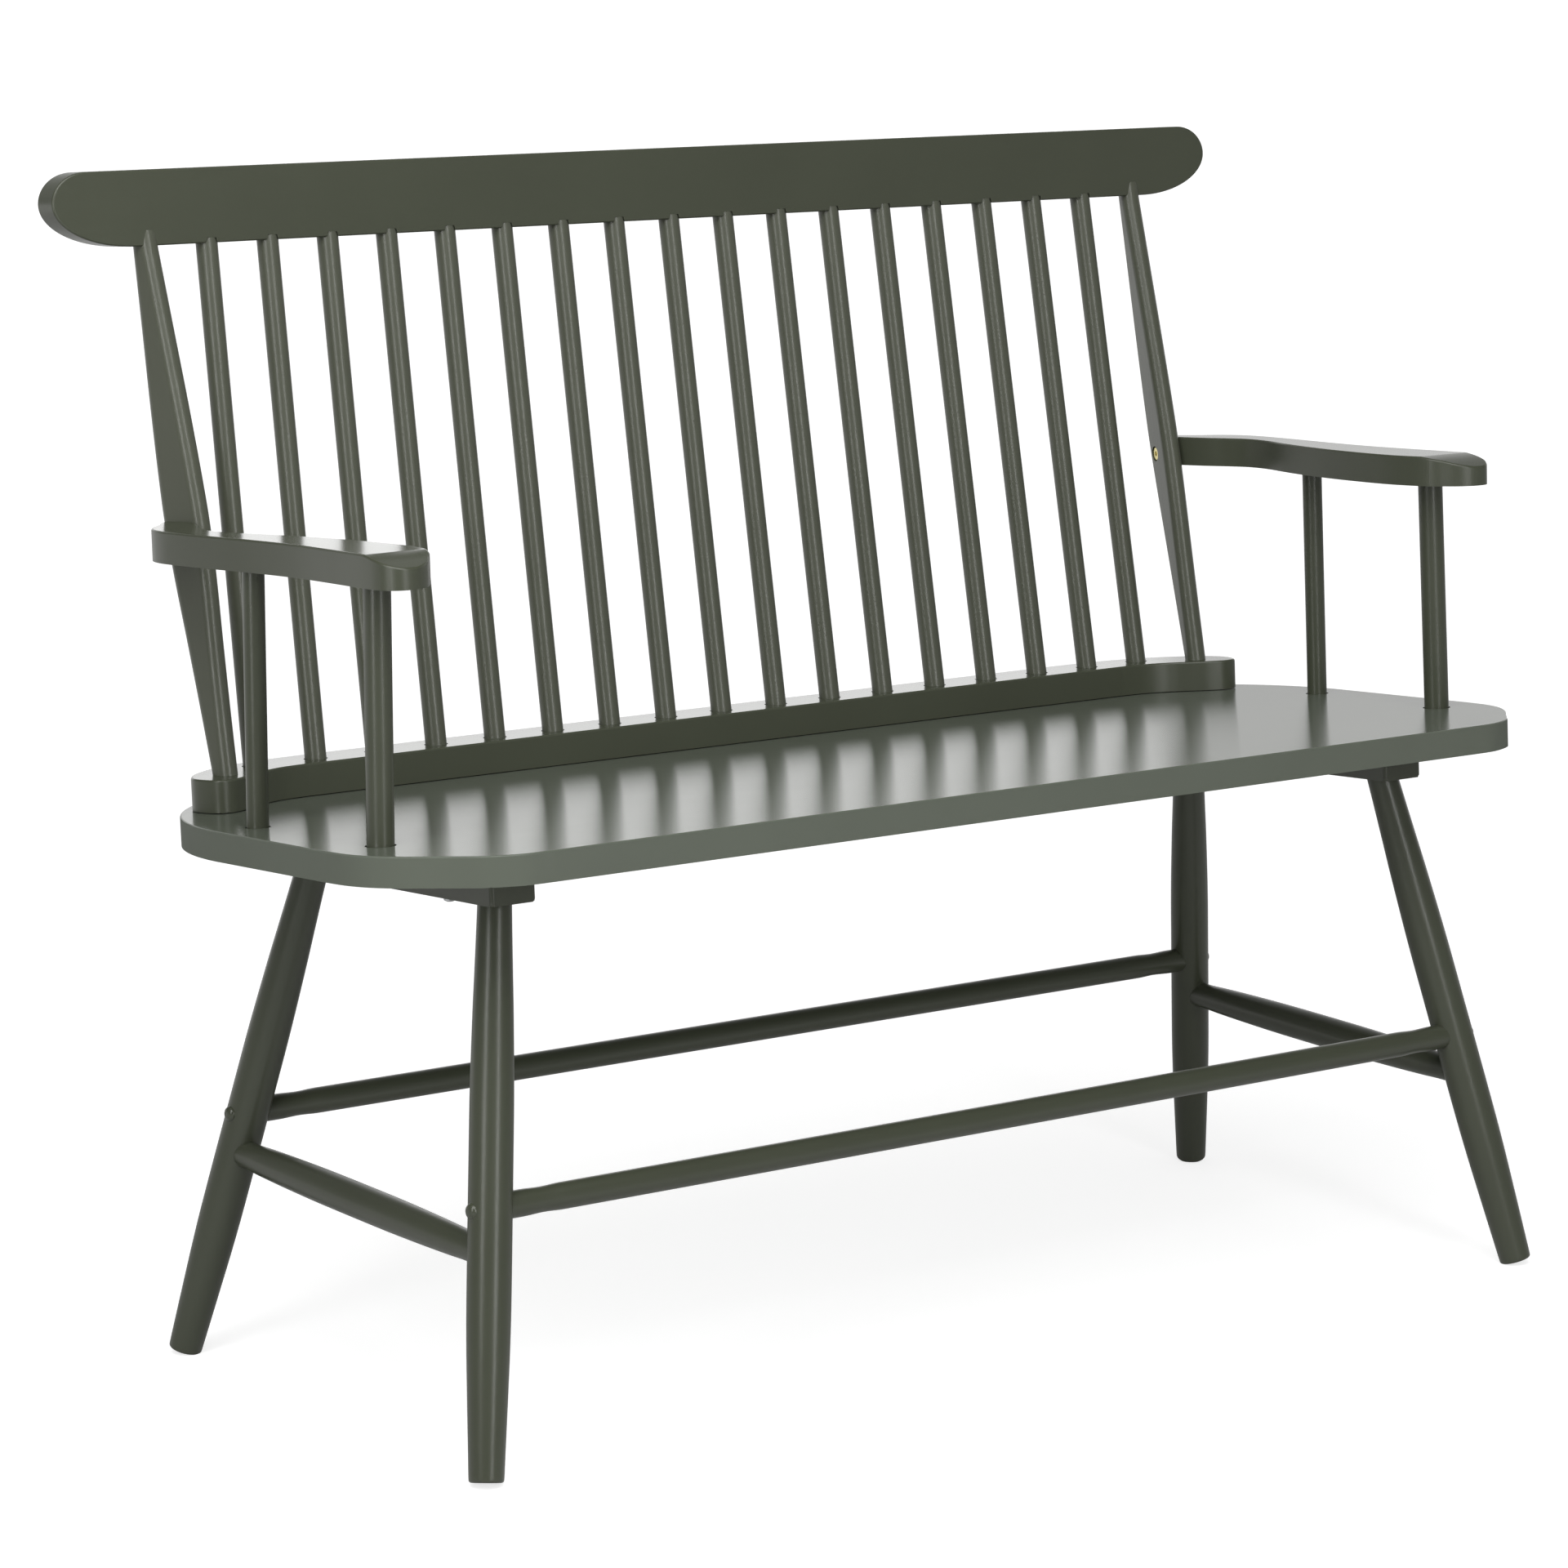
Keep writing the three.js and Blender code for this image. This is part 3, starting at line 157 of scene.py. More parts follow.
SIDE_SHARES = [(0, 0), (0.06, 0.08), (0.12, 0.38), (0.22, 0.7), (0.35, 0.95), (0.5, 1)]
STRETCHER_INSET = 9

# Bolts that show
ARM_BOLT_HEIGHT, ARM_BOLT_OFFSET = 200.7, 4.7
ARM_BOLT_HEAD, ARM_BOLT_SHANK, ARM_BOLT_SUNK, ARM_BOLT_EDGE = 5.8, 3, 0.9, 0.9
ARM_BOLT_HEAD_END, ARM_BOLT_SHANK_START, ARM_BOLT_LENGTH = 3, 3.02, 18
ARM_BOLT_RECESS, ARM_BOLT_RECESS_START, ARM_BOLT_RECESS_END = 6.4, -4, 3.8
KEY_HOLE_RADIUS, KEY_HOLE_START, KEY_HOLE_END = 2.4, -2, 1.8
BOLT_CAP_RADIUS, BOLT_CAP_DOME, BOLT_CAP_BASE, BOLT_CAP_SUNK = 6.2, 4.5, 1, 1.5


# Curves and points

def spline(points, steps, closed=False):
    """Points on a smooth curve through the given points."""
    count = len(points)
    spans = count if closed else count - 1
    made = []
    for span in range(spans):
        if closed:
            corners = [Vector(points[(span + shift) % count]) for shift in (-1, 0, 1, 2)]
        else:
            corners = [Vector(points[min(max(span + shift, 0), count - 1)]) for shift in (-1, 0, 1, 2)]
        before, start, end, after = corners
        for step in range(steps):
            t = step / steps
            made.append(
                0.5 * (2 * start + (end - before) * t
                       + (2 * before - 5 * start + 4 * end - after) * t * t
                       + (3 * start - 3 * end + after - before) * t ** 3)
            )
    if not closed:
        made.append(Vector(points[-1]))
    return made


def arc(centre, radii, start, end, steps):
    """Points on part of an ellipse, angles in quarter turns."""
    made = []
    for step in range(steps + 1):
        angle = math.pi / 2 * (start + (end - start) * step / steps)
        made.append(Vector((centre[0] + radii[0] * math.cos(angle), centre[1] + radii[1] * math.sin(angle))))
    return made


def without_repeats(outline):
    kept = []
    for spot in outline:
        if not kept or (spot - kept[-1]).length > REPEAT_DISTANCE:
            kept.append(spot)
    if (kept[0] - kept[-1]).length < REPEAT_DISTANCE:
        kept.pop()
    return kept


def both_ends(half_outline):
    """An outline from its right half, which runs anticlockwise."""
    other = [Vector((-spot.x, spot.y)) for spot in reversed(half_outline)]
    return without_repeats(half_outline + other)


def towards(start, end, distance):
    return start + (end - start).normalized() * distance


def at_height(start, end, height):
    return start.lerp(end, (height - start.z) / (end.z - start.z))


def share_at(shares, place):
    """The second number of the pairs where the first has a value, between the given pairs."""
    for (low, first), (high, second) in zip(shares, shares[1:]):
        if place <= high:
            return first + (second - first) * (place - low) / (high - low)
    return shares[-1][1]


def flip_x(spot):
    return Vector((-spot.x, spot.y, spot.z))


# Meshes

def slab(outline, low, high, edge, edge_steps=4, low_edge=None):
    """An upright slab with rounded top and bottom edges."""
    bm = bmesh.new()
    floor = [bm.verts.new((spot.x, spot.y, low)) for spot in outline]
    roof = [bm.verts.new((spot.x, spot.y, high)) for spot in outline]
    bottom = bm.faces.new(list(reversed(floor)))
    top = bm.faces.new(roof)
    for index in range(len(outline)):
        after = (index + 1) % len(outline)
        bm.faces.new((floor[index], floor[after], roof[after], roof[index]))
    rims = [(list(bottom.edges), low_edge or edge), (list(top.edges), edge)]
    for rim, width in rims:
        bmesh.ops.bevel(bm, geom=rim, offset=width, offset_type="OFFSET", segments=edge_steps, profile=0.5,
                        affect="EDGES", clamp_overlap=False)
    return bm


def lathe(profile, sides=64):
    """A round solid up the Z axis from (height, radius) pairs."""
    bm = bmesh.new()
    rings = []
    for height, radius in profile:
        ring = []
        for side in range(sides):
            angle = 2 * math.pi * side / sides
            ring.append(bm.verts.new((radius * math.cos(angle), radius * math.sin(angle), height)))
        rings.append(ring)
    for low, high in zip(rings, rings[1:]):
        for side in range(sides):
            after = (side + 1) % sides
            bm.faces.new((low[side], low[after], high[after], high[side]))
    bm.faces.new(list(reversed(rings[0])))
    bm.faces.new(rings[-1])
    return bm


def loft(rings):
    bm = bmesh.new()
    verts = [[bm.verts.new(spot) for spot in ring] for ring in rings]
    count = len(rings[0])
    for low, high in zip(verts, verts[1:]):
        for step in range(count):
            after = (step + 1) % count
            bm.faces.new((low[step], low[after], high[after], high[step]))
    bm.faces.new(list(reversed(verts[0])))
    bm.faces.new(verts[-1])
    return bm


def mirrored(bm):
    """A copy of the mesh mirrored in the bench's middle plane."""
    other = bm.copy()
    for vert in other.verts:
        vert.co.x = -vert.co.x
    bmesh.ops.reverse_faces(other, faces=other.faces)
    return other


def axis_frame(start, end):
    """The frame whose Z axis runs from one point to the other."""
    turn = Vector((0, 0, 1)).rotation_difference(end - start)
    return Matrix.Translation(start) @ turn.to_matrix().to_4x4()


def sliced(bm, spot, normal):
    """Takes away what lies beyond a plane, on its normal's side, and closes the cut."""
    geometry = list(bm.verts) + list(bm.edges) + list(bm.faces)
    cut = bmesh.ops.bisect_plane(bm, geom=geometry, plane_co=spot, plane_no=normal, clear_outer=True,
                                 dist=PLANE_DISTANCE)
    edges = [item for item in cut["geom_cut"] if isinstance(item, bmesh.types.BMEdge)]
    bmesh.ops.holes_fill(bm, edges=edges)


def put(name, bm, place):
    """An object from a mesh in millimetres, in the frame of its place."""
    bmesh.ops.recalc_face_normals(bm, faces=bm.faces)
    bm.transform(Matrix.Scale(MM, 4))
    mesh = bpy.data.meshes.new(name)
    bm.to_mesh(mesh)
    bm.free()
    made = bpy.data.objects.new(name, mesh)
    bpy.context.scene.collection.objects.link(made)
    placed = place.copy()
    placed.translation *= MM
    made.matrix_world = placed
    bpy.context.view_layer.update()
    return made


def finished(name, bm, place, material, nodes, cutters=()):
    """A piece of the bench, with its holes, smooth shading, material and the nodes that it replaces."""
    piece = put(name, bm, place)
    for cutter in cutters:
        carve(piece, cutter)
    piece.data.shade_smooth()
    piece.data.set_sharp_from_angle(angle=SHARP_TURN)
    weigh_normals(piece)
    piece.data.materials.clear()
    piece.data.materials.append(material)
    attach(piece, "root")
    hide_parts(*nodes)


def applied(piece, modifier):
    with bpy.context.temp_override(object=piece, active_object=piece, selected_objects=[piece]):
        bpy.ops.object.modifier_apply(modifier=modifier.name)


def weigh_normals(piece):
    modifier = piece.modifiers.new("normals", "WEIGHTED_NORMAL")
    modifier.keep_sharp = True
    modifier.weight = 100
    applied(piece, modifier)


def carve(piece, cutter):
    """Takes a cutter, a mesh in millimetres with the frame of its place, away from the piece."""
    tool = put("cutter", *cutter)
    modifier = piece.modifiers.new("cut", "BOOLEAN")
    modifier.operation = "DIFFERENCE"
    modifier.solver = "EXACT"
    modifier.object = tool
    applied(piece, modifier)
    bpy.data.objects.remove(tool)


# Materials

def graph(name):
    material = bpy.data.materials.new(name)
    material.use_nodes = True
    nodes = material.node_tree.nodes
    return material, nodes, material.node_tree.links, nodes["Principled BSDF"]


def mixed(nodes, links, factor, low, high):
    """A colour between two, by a factor from another node's socket."""
    mix = nodes.new("ShaderNodeMix")
    mix.data_type = "RGBA"
    mix.inputs["A"].default_value = (*low, 1)
    mix.inputs["B"].default_value = (*high, 1)
    links.new(factor, mix.inputs["Factor"])
    return mix.outputs["Result"]


def ranged(nodes, links, value, low, high, start=0, end=1, smooth=False):
    """The value carried from the range of start to end to the range of low to high."""
    node = nodes.new("ShaderNodeMapRange")
    if smooth:
        node.interpolation_type = "SMOOTHSTEP"
    for word, number in (("From Min", start), ("From Max", end), ("To Min", low), ("To Max", high)):
        node.inputs[word].default_value = number
    links.new(value, node.inputs["Value"])
    return node.outputs["Result"]


def worked_out(nodes, links, operation, first, second):
    """The product or the larger of the values of two sockets."""
    node = nodes.new("ShaderNodeMath")
    node.operation = operation
    links.new(first, node.inputs[0])
    links.new(second, node.inputs[1])
    return node.outputs["Value"]


def blended(nodes, links, factor, first, second):
    """A shader that goes from the first to the second as the factor goes from 0 to 1."""
    node = nodes.new("ShaderNodeMixShader")
    links.new(factor, node.inputs["Fac"])
    links.new(first, node.inputs[1])
    links.new(second, node.inputs[2])
    return node.outputs["Shader"]


def raised(nodes, links, height, strength, distance, under=None):
    """The surface's direction with a fine relief, laid over another one where that is given."""
    node = nodes.new("ShaderNodeBump")
    node.inputs["Strength"].default_value = strength
    node.inputs["Distance"].default_value = distance
    links.new(height, node.inputs["Height"])
    if under is not None:
        links.new(under, node.inputs["Normal"])
    return node.outputs["Normal"]


def part_of(nodes, links, vector, letter):
    """One number of a vector: X, Y or Z."""
    node = nodes.new("ShaderNodeSeparateXYZ")
    links.new(vector, node.inputs["Vector"])
    return node.outputs[letter]


def noise(nodes, links, where, scale, detail, stretch=(1, 1, 1)):
    mapping = nodes.new("ShaderNodeMapping")
    mapping.inputs["Scale"].default_value = stretch
    links.new(where, mapping.inputs["Vector"])
    node = nodes.new("ShaderNodeTexNoise")
    node.inputs["Scale"].default_value = scale
    node.inputs["Detail"].default_value = detail
    links.new(mapping.outputs["Vector"], node.inputs["Vector"])
    return node.outputs["Fac"]


# Lacquer: colours, scales of its patterns, their stretch along the grain, relief and heights in metres
PAINT_ROUGHNESS = (0.27, 0.36)
PAINT_DEEP = (0.048, 0.053, 0.035)
PAINT_LIGHT = (0.059, 0.066, 0.044)
# The seat's colours, a lighter copy of the lacquer: painted light that stands in for the light the seat
# catches
SEAT_LIT_DEEP = (0.096, 0.109, 0.085)
SEAT_LIT_LIGHT = (0.111, 0.126, 0.099)
# The colours of the spindles and back posts, a lighter copy of the lacquer: painted light that stands in for
# the light they catch
BACK_LIT_DEEP = (0.065, 0.070, 0.050)
BACK_LIT_LIGHT = (0.079, 0.085, 0.062)
CLOUD_SCALE, WAVE_SCALE, FIBRE_SCALE, PEEL_SCALE = 9, 26, 420, 900
FIBRE_STRETCH, WAVE_STRETCH = 0.05, 0.35
FIBRE_RELIEF, WAVE_RELIEF, PEEL_RELIEF = 0.35, 0.25, 0.25
FIBRE_HEIGHT, WAVE_HEIGHT = 0.00012, 0.0008
PEEL_HEIGHT, SMOOTH_PEEL_HEIGHT = 0.00004, 0.000004
SMOOTH_RELIEF = 0.02
SIDE_LEVEL, TOP_LEVEL = 0.5, 0.95
SEAT_RUBBED = 0.9

# Bare metal
SCRATCH_RELIEF, SCRATCH_HEIGHT = 0.2, 0.00003
SCRATCH_STRETCH = (1, 1, 0.1)


def paint(name, grain, roughness=PAINT_ROUGHNESS, deep=PAINT_DEEP, light=PAINT_LIGHT, relief=1,
          peel_height=PEEL_HEIGHT):
    """Satin grey-green lacquer over smooth wood, whose grain runs along one axis of the piece."""
    material, nodes, links, shader = graph(name)
    where = nodes.new("ShaderNodeTexCoord").outputs["Object"]
    cloud = noise(nodes, links, where, CLOUD_SCALE, 3)
    fibres = noise(nodes, links, where, FIBRE_SCALE, 4, along(grain, FIBRE_STRETCH))
    peel = noise(nodes, links, where, PEEL_SCALE, 2)
    waves = noise(nodes, links, where, WAVE_SCALE, 2, along(grain, WAVE_STRETCH))
    links.new(mixed(nodes, links, cloud, deep, light), shader.inputs["Base Color"])
    links.new(ranged(nodes, links, fibres, *roughness), shader.inputs["Roughness"])
    shader.inputs["IOR"].default_value = 1.5
    grained = raised(nodes, links, fibres, FIBRE_RELIEF, FIBRE_HEIGHT * relief)
    peeled = raised(nodes, links, peel, PEEL_RELIEF, peel_height, grained)
    waved = raised(nodes, links, waves, WAVE_RELIEF, WAVE_HEIGHT * relief, peeled)
    links.new(waved, shader.inputs["Normal"])
    return material


def along(grain, stretch):
    """The scales of the three axes, with the grain's axis stretched."""
    return [stretch if axis == grain else 1 for axis in range(3)]


def smooth_top(name, grain, roughness, side_roughness, deep=PAINT_DEEP, light=PAINT_LIGHT):
    """Lacquer that lies smooth on a level top and less smooth on the edges and sides."""
    material = paint(name, grain, roughness, deep, light, SMOOTH_RELIEF, SMOOTH_PEEL_HEIGHT)
    nodes, links = material.node_tree.nodes, material.node_tree.links
    rough = nodes["Principled BSDF"].inputs["Roughness"]
    upright = part_of(nodes, links, nodes.new("ShaderNodeTexCoord").outputs["Normal"], "Z")
    side = ranged(nodes, links, upright, side_roughness, 0, SIDE_LEVEL, TOP_LEVEL)
    links.new(worked_out(nodes, links, "MAXIMUM", side, rough.links[0].from_socket), rough)
    return material


def lit_seat_paint():
    """The seat's lacquer, rubbed down along the plank, so that lights stretch across it, in lighter colours
    that are painted light for the light the seat catches.
    """
    material = smooth_top("seat_lit_copy", 0, roughness=(0.17, 0.2), side_roughness=0.48,
                          deep=SEAT_LIT_DEEP, light=SEAT_LIT_LIGHT)
    nodes, links = material.node_tree.nodes, material.node_tree.links
    shader = nodes["Principled BSDF"]
    across = nodes.new("ShaderNodeCombineXYZ")
    across.inputs["Y"].default_value = 1
    turned = nodes.new("ShaderNodeVectorTransform")
    turned.vector_type = "VECTOR"
    turned.convert_from = "OBJECT"
    turned.convert_to = "WORLD"
    links.new(across.outputs["Vector"], turned.inputs["Vector"])
    links.new(turned.outputs["Vector"], shader.inputs["Tangent"])
    shader.inputs["Anisotropic"].default_value = SEAT_RUBBED
    return material


def metal(name, low, high, roughness, scale):
    """Bare metal with fine scratches and a little change of tone."""
    material, nodes, links, shader = graph(name)
    where = nodes.new("ShaderNodeTexCoord").outputs["Object"]
    tone = noise(nodes, links, where, scale, 4)
    scratches = noise(nodes, links, where, 5 * scale, 2, SCRATCH_STRETCH)
    links.new(mixed(nodes, links, tone, low, high), shader.inputs["Base Color"])
    links.new(ranged(nodes, links, scratches, *roughness), shader.inputs["Roughness"])
    shader.inputs["Metallic"].default_value = 1
    scratched = raised(nodes, links, scratches, SCRATCH_RELIEF, SCRATCH_HEIGHT)
    links.new(scratched, shader.inputs["Normal"])
    return material


# The seat's lacquer, whose lighter colours are painted light
SEAT_LIT_PAINT = lit_seat_paint()
ARM_PAINT = smooth_top("painted_arm", 1, roughness=(0.17, 0.21), side_roughness=0.36)
RAIL_PAINT = smooth_top("painted_rail", 0, roughness=(0.17, 0.21), side_roughness=0.34)
ALONG_X = paint("painted_wood_along_x", 0)
ALONG_Y = paint("painted_wood_along_y", 1)
ALONG_Z = paint("painted_wood_along_z", 2)
# The spindles' and back posts' lacquer, whose lighter colours are painted light
BACK_LIT_PAINT = paint("back_lit_copy", 2, deep=BACK_LIT_DEEP, light=BACK_LIT_LIGHT)
CAP_PAINT = paint("painted_steel_cap", 2, roughness=(0.22, 0.3))
BRASS = metal("brass", low=(0.72, 0.62, 0.26), high=(0.86, 0.78, 0.42), roughness=(0.32, 0.42), scale=300)
ZINC = metal("zinc_steel", low=(0.42, 0.43, 0.44), high=(0.62, 0.63, 0.63), roughness=(0.28, 0.45),
             scale=260)


# Seat, rails and cleats

def seat_outline():
    half = SEAT_LENGTH / 2
    start = half - SEAT_CORNER_LENGTH
    corner = spline([(start + out * SEAT_CORNER_LENGTH, back * SEAT_CORNER_DEPTH)
                     for out, back in SEAT_CORNER_SHARES], SPLINE_STEPS)
    rear = arc((half - SEAT_REAR_LENGTH, SEAT_DEPTH - SEAT_REAR_DEPTH), (SEAT_REAR_LENGTH, SEAT_REAR_DEPTH),
               0, 1, steps=40)
    return both_ends([Vector(spot) for spot in corner] + rear)


def post_socket_ring(side, row):
    """The slightly wider mouth of the hole that an arm post stands in."""
    radius, foot, head = ARM_POSTS[row]
    low, high = (foot, head) if side > 0 else (flip_x(foot), flip_x(head))
    wide = radius + POST_HOLE_LIP
    return lathe([(POST_HOLE_START, wide), (POST_HOLE_END, wide)]), SEAT_FRAME @ axis_frame(low, high)


def spindle_ends(index):
    """Where a spindle's axis leaves the lower rail and enters the crest rail."""
    offset = index - (SPINDLES - 1) / 2
    return (Vector((offset * RAIL_PITCH, RAIL_SETBACK, RAIL_HEIGHT)),
            Vector((offset * CREST_PITCH, CREST_SETBACK, CREST_BOTTOM)))


def hole_mouth(mouth, other):
    """The slightly wider mouth of the hole that a spindle stands in."""
    wide, depth = SPINDLE_RADIUS + SPINDLE_HOLE_LIP, SPINDLE_HOLE_DEPTH
    return lathe([(-depth, wide), (depth, wide)], sides=48), SEAT_FRAME @ axis_frame(mouth, other)


def seat():
    cutters = [post_socket_ring(side, row) for side in (1, -1) for row in ARM_POSTS]
    bm = slab(seat_outline(), -SEAT_THICKNESS, 0, SEAT_EDGE, edge_steps=5)
    finished("seat", bm, SEAT_FRAME, SEAT_LIT_PAINT, ["seat_plank"], cutters=cutters)


def lower_rail():
    ear = spline([(out * RAIL_LENGTH / 2, EAR_FRONT + back * EAR_DEPTH) for out, back in EAR_SHARES],
                 SPLINE_STEPS)
    outline = both_ends([Vector(spot) for spot in ear])
    cutters = [hole_mouth(*spindle_ends(index)) for index in range(SPINDLES)]
    bm = slab(outline, RAIL_SHADE, RAIL_HEIGHT, RAIL_EDGE, low_edge=RAIL_LOW_EDGE)
    finished("lower_rail", bm, SEAT_FRAME, RAIL_PAINT, ["lower_back_rail"], cutters=cutters)


def crest():
    half = CREST_LENGTH / 2
    rise = CREST_HEIGHT - CREST_TOP_HEIGHT
    outline = both_ends(
        arc((half - CREST_BOTTOM_LENGTH, rise), (CREST_BOTTOM_LENGTH, rise), -1, 0, steps=28)
        + arc((half - CREST_TOP_LENGTH, rise), (CREST_TOP_LENGTH, CREST_TOP_HEIGHT), 0, 1, steps=20)
    )
    bm = slab(outline, -CREST_THICKNESS, 0, CREST_EDGE)
    bm.transform(Matrix.Rotation(math.pi / 2, 4, "X"))
    bm.transform(Matrix.Translation((0, CREST_FRONT, CREST_BOTTOM)))
    cutters = [hole_mouth(*reversed(spindle_ends(index))) for index in range(SPINDLES)]
    finished("crest", bm, SEAT_FRAME, ALONG_X, ["crest_rail"], cutters=cutters)


def cleat(side, word):
    left, right = CLEAT_X - CLEAT_WIDTH / 2, CLEAT_X + CLEAT_WIDTH / 2
    front, rear, corner = CLEAT_FRONT, CLEAT_FRONT + CLEAT_LENGTH, CLEAT_CORNER
    outline = without_repeats(
        arc((right - corner, front + corner), (corner, corner), -1, 0, steps=8)
        + arc((right - corner, rear - corner), (corner, corner), 0, 1, steps=8)
        + arc((left + corner, rear - corner), (corner, corner), 1, 2, steps=8)
        + arc((left + corner, front + corner), (corner, corner), 2, 3, steps=8)
    )
    if side < 0:
        outline = [Vector((-spot.x, spot.y)) for spot in reversed(outline)]
    bm = slab(outline, CLEAT_BOTTOM, -SEAT_THICKNESS + CLEAT_RISE, CLEAT_EDGE, edge_steps=5)
    finished(f"{word}_cleat_block", bm, SEAT_FRAME, ALONG_Y, [f"{word}_cleat"])


# Back

def rod_profile(length, radius):
    return [(length * quarters / 4, radius) for quarters in range(5)]


def spindle(index):
    foot, head = spindle_ends(index)
    start, end = towards(foot, head, -SOCKET), towards(head, foot, -SOCKET)
    bm = lathe(rod_profile((end - start).length, SPINDLE_RADIUS), sides=48)
    finished(f"spindle_{index + 1:02d}", bm, SEAT_FRAME @ axis_frame(start, end),
             BACK_LIT_PAINT, [f"back_spindle_{index + 1:02d}"])


POST_ACROSS = Vector((math.sin(POST_TURN), math.cos(POST_TURN), 0))
POST_OUT = POST_ACROSS.cross(POST_HEAD - POST_FOOT).normalized()
BOLT_MIDDLE = at_height(POST_FOOT, POST_HEAD, ARM_BOLT_HEIGHT) + POST_ACROSS * ARM_BOLT_OFFSET


def post_rings():
    radius = POST_THICKNESS / 2
    level = Vector((POST_ACROSS.y, -POST_ACROSS.x, 0))
    widths = spline(POST_WIDTH_SHARES, BODY_STEPS)
    rings = []
    for rise, width in [POST_LOW_END] + [tuple(pair) for pair in widths] + [POST_HIGH_END]:
        middle = POST_FOOT + (POST_HEAD - POST_FOOT) * rise
        flat = width * POST_WIDTH / 2 - radius
        ring = []
        for end in (1, -1):
            for step in range(POST_ROUND_STEPS + 1):
                angle = math.pi * step / POST_ROUND_STEPS
                spot = middle + POST_ACROSS * (end * (flat + radius * math.sin(angle)))
                ring.append(spot + level * (end * radius * math.cos(angle)))
        rings.append(ring)
    return rings


def sided(bm, side):
    return bm if side > 0 else mirrored(bm)


def back_post(side, word):
    half = POST_THICKNESS / 2
    start = BOLT_MIDDLE + POST_OUT * (ARM_BOLT_RECESS_START - half)
    end = BOLT_MIDDLE + POST_OUT * (ARM_BOLT_RECESS_END - half)
    if side < 0:
        start, end = flip_x(start), flip_x(end)
    recess = lathe([(0, ARM_BOLT_RECESS), ((end - start).length, ARM_BOLT_RECESS)], sides=48)
    finished(f"{word}_post", sided(loft(post_rings()), side), SEAT_FRAME, BACK_LIT_PAINT,
             [f"{word}_back_post"], cutters=[(recess, SEAT_FRAME @ axis_frame(start, end))])


# Arms

def arm_mesh():
    outline = spline([(ARM_INNER_X + out * ARM_SPREAD, back * ARM_REACH) for back, out in ARM_SHARES],
                     SPLINE_STEPS, closed=True)
    bm = slab(without_repeats([Vector(spot) for spot in outline]), 0, ARM_THICKNESS, ARM_EDGE, edge_steps=5)
    for step in range(1, ARM_ROUND_STEPS + 1):
        place = ARM_ROUND_LENGTH * step / ARM_ROUND_STEPS
        geometry = list(bm.verts) + list(bm.edges) + list(bm.faces)
        bmesh.ops.bisect_plane(bm, geom=geometry, plane_co=(0, place, 0), plane_no=(0, 1, 0),
                               dist=PLANE_DISTANCE)
    radius = ARM_ROUND_RADIUS
    middle = ARM_ROUND_LENGTH + radius * math.sin(ARM_ROUND_LEAN)
    for vert in bm.verts:
        if vert.co.z > ARM_THICKNESS / 2 and vert.co.y < ARM_ROUND_LENGTH:
            reach = middle - vert.co.y
            vert.co.z -= radius * math.cos(ARM_ROUND_LEAN) - math.sqrt(radius * radius - reach * reach)
    to_arm = ARM_FRAME.inverted() @ SEAT_FRAME
    face = to_arm @ (BOLT_MIDDLE + POST_OUT * (POST_THICKNESS / 2 + ARM_FACE_GAP))
    sliced(bm, face, -(to_arm.to_3x3() @ POST_OUT))
    return bm


def arm(side, word):
    finished(f"{word}_armrest", sided(arm_mesh(), side), ARM_FRAME, ARM_PAINT, [f"{word}_arm"])


def arm_post(side, word, row):
    radius, foot, head = ARM_POSTS[row]
    if side < 0:
        foot, head = flip_x(foot), flip_x(head)
    start, end = towards(foot, head, -SOCKET), towards(head, foot, -SOCKET)
    bm = lathe(rod_profile((end - start).length, radius), sides=56)
    finished(f"{word}_{row}_arm_dowel", bm, SEAT_FRAME @ axis_frame(start, end), ALONG_Z,
             [f"{word}_{row}_arm_post"])


# Legs and stretchers

def leg_axis(row):
    top, foot = LEGS[row]
    top = BENCH_FRAME.inverted() @ SEAT_FRAME @ top
    lean = math.acos((top - foot).normalized().z)
    lift = (LEG_RADIUS * LEG_SHARES[-1][1] - LEG_FOOT_EDGE) * math.sin(lean) - LEG_FOOT_CUT
    return top, at_height(foot, top, lift)


LEG_AXES = {row: leg_axis(row) for row in LEGS}
SMOOTH_LEG = [tuple(pair) for pair in spline(LEG_SHARES, BODY_STEPS)]


def leg_radius(row, spot):
    top, foot = LEG_AXES[row]
    return LEG_RADIUS * share_at(LEG_SHARES, (top - spot).length / (top - foot).length)


def leg(side, word, row):
    top, foot = LEG_AXES[row]
    length = (top - foot).length
    body = [((1 - fall) * length, share * LEG_RADIUS) for fall, share in reversed(SMOOTH_LEG)]
    edge = LEG_FOOT_EDGE
    profile = []
    for step in range(6):
        angle = math.pi / 2 * step / 5
        profile.append((edge - edge * math.cos(angle), body[0][1] - edge + edge * math.sin(angle)))
    profile += [pair for pair in body if pair[0] > edge + 0.5] + [(length + LEG_TOP_SUNK, body[-1][1])]
    bm = lathe(profile, sides=72)
    place = axis_frame(foot, top)
    bm.transform(place)
    sliced(bm, (0, 0, 0), (0, 0, -1))
    bm.transform(place.inverted())
    if side < 0:
        bm.transform(place)
        bm = mirrored(bm)
        place = axis_frame(flip_x(foot), flip_x(top))
        bm.transform(place.inverted())
    finished(f"{word}_{row}_turned_leg", bm, BENCH_FRAME @ place, ALONG_Z, [f"{word}_{row}_leg"])


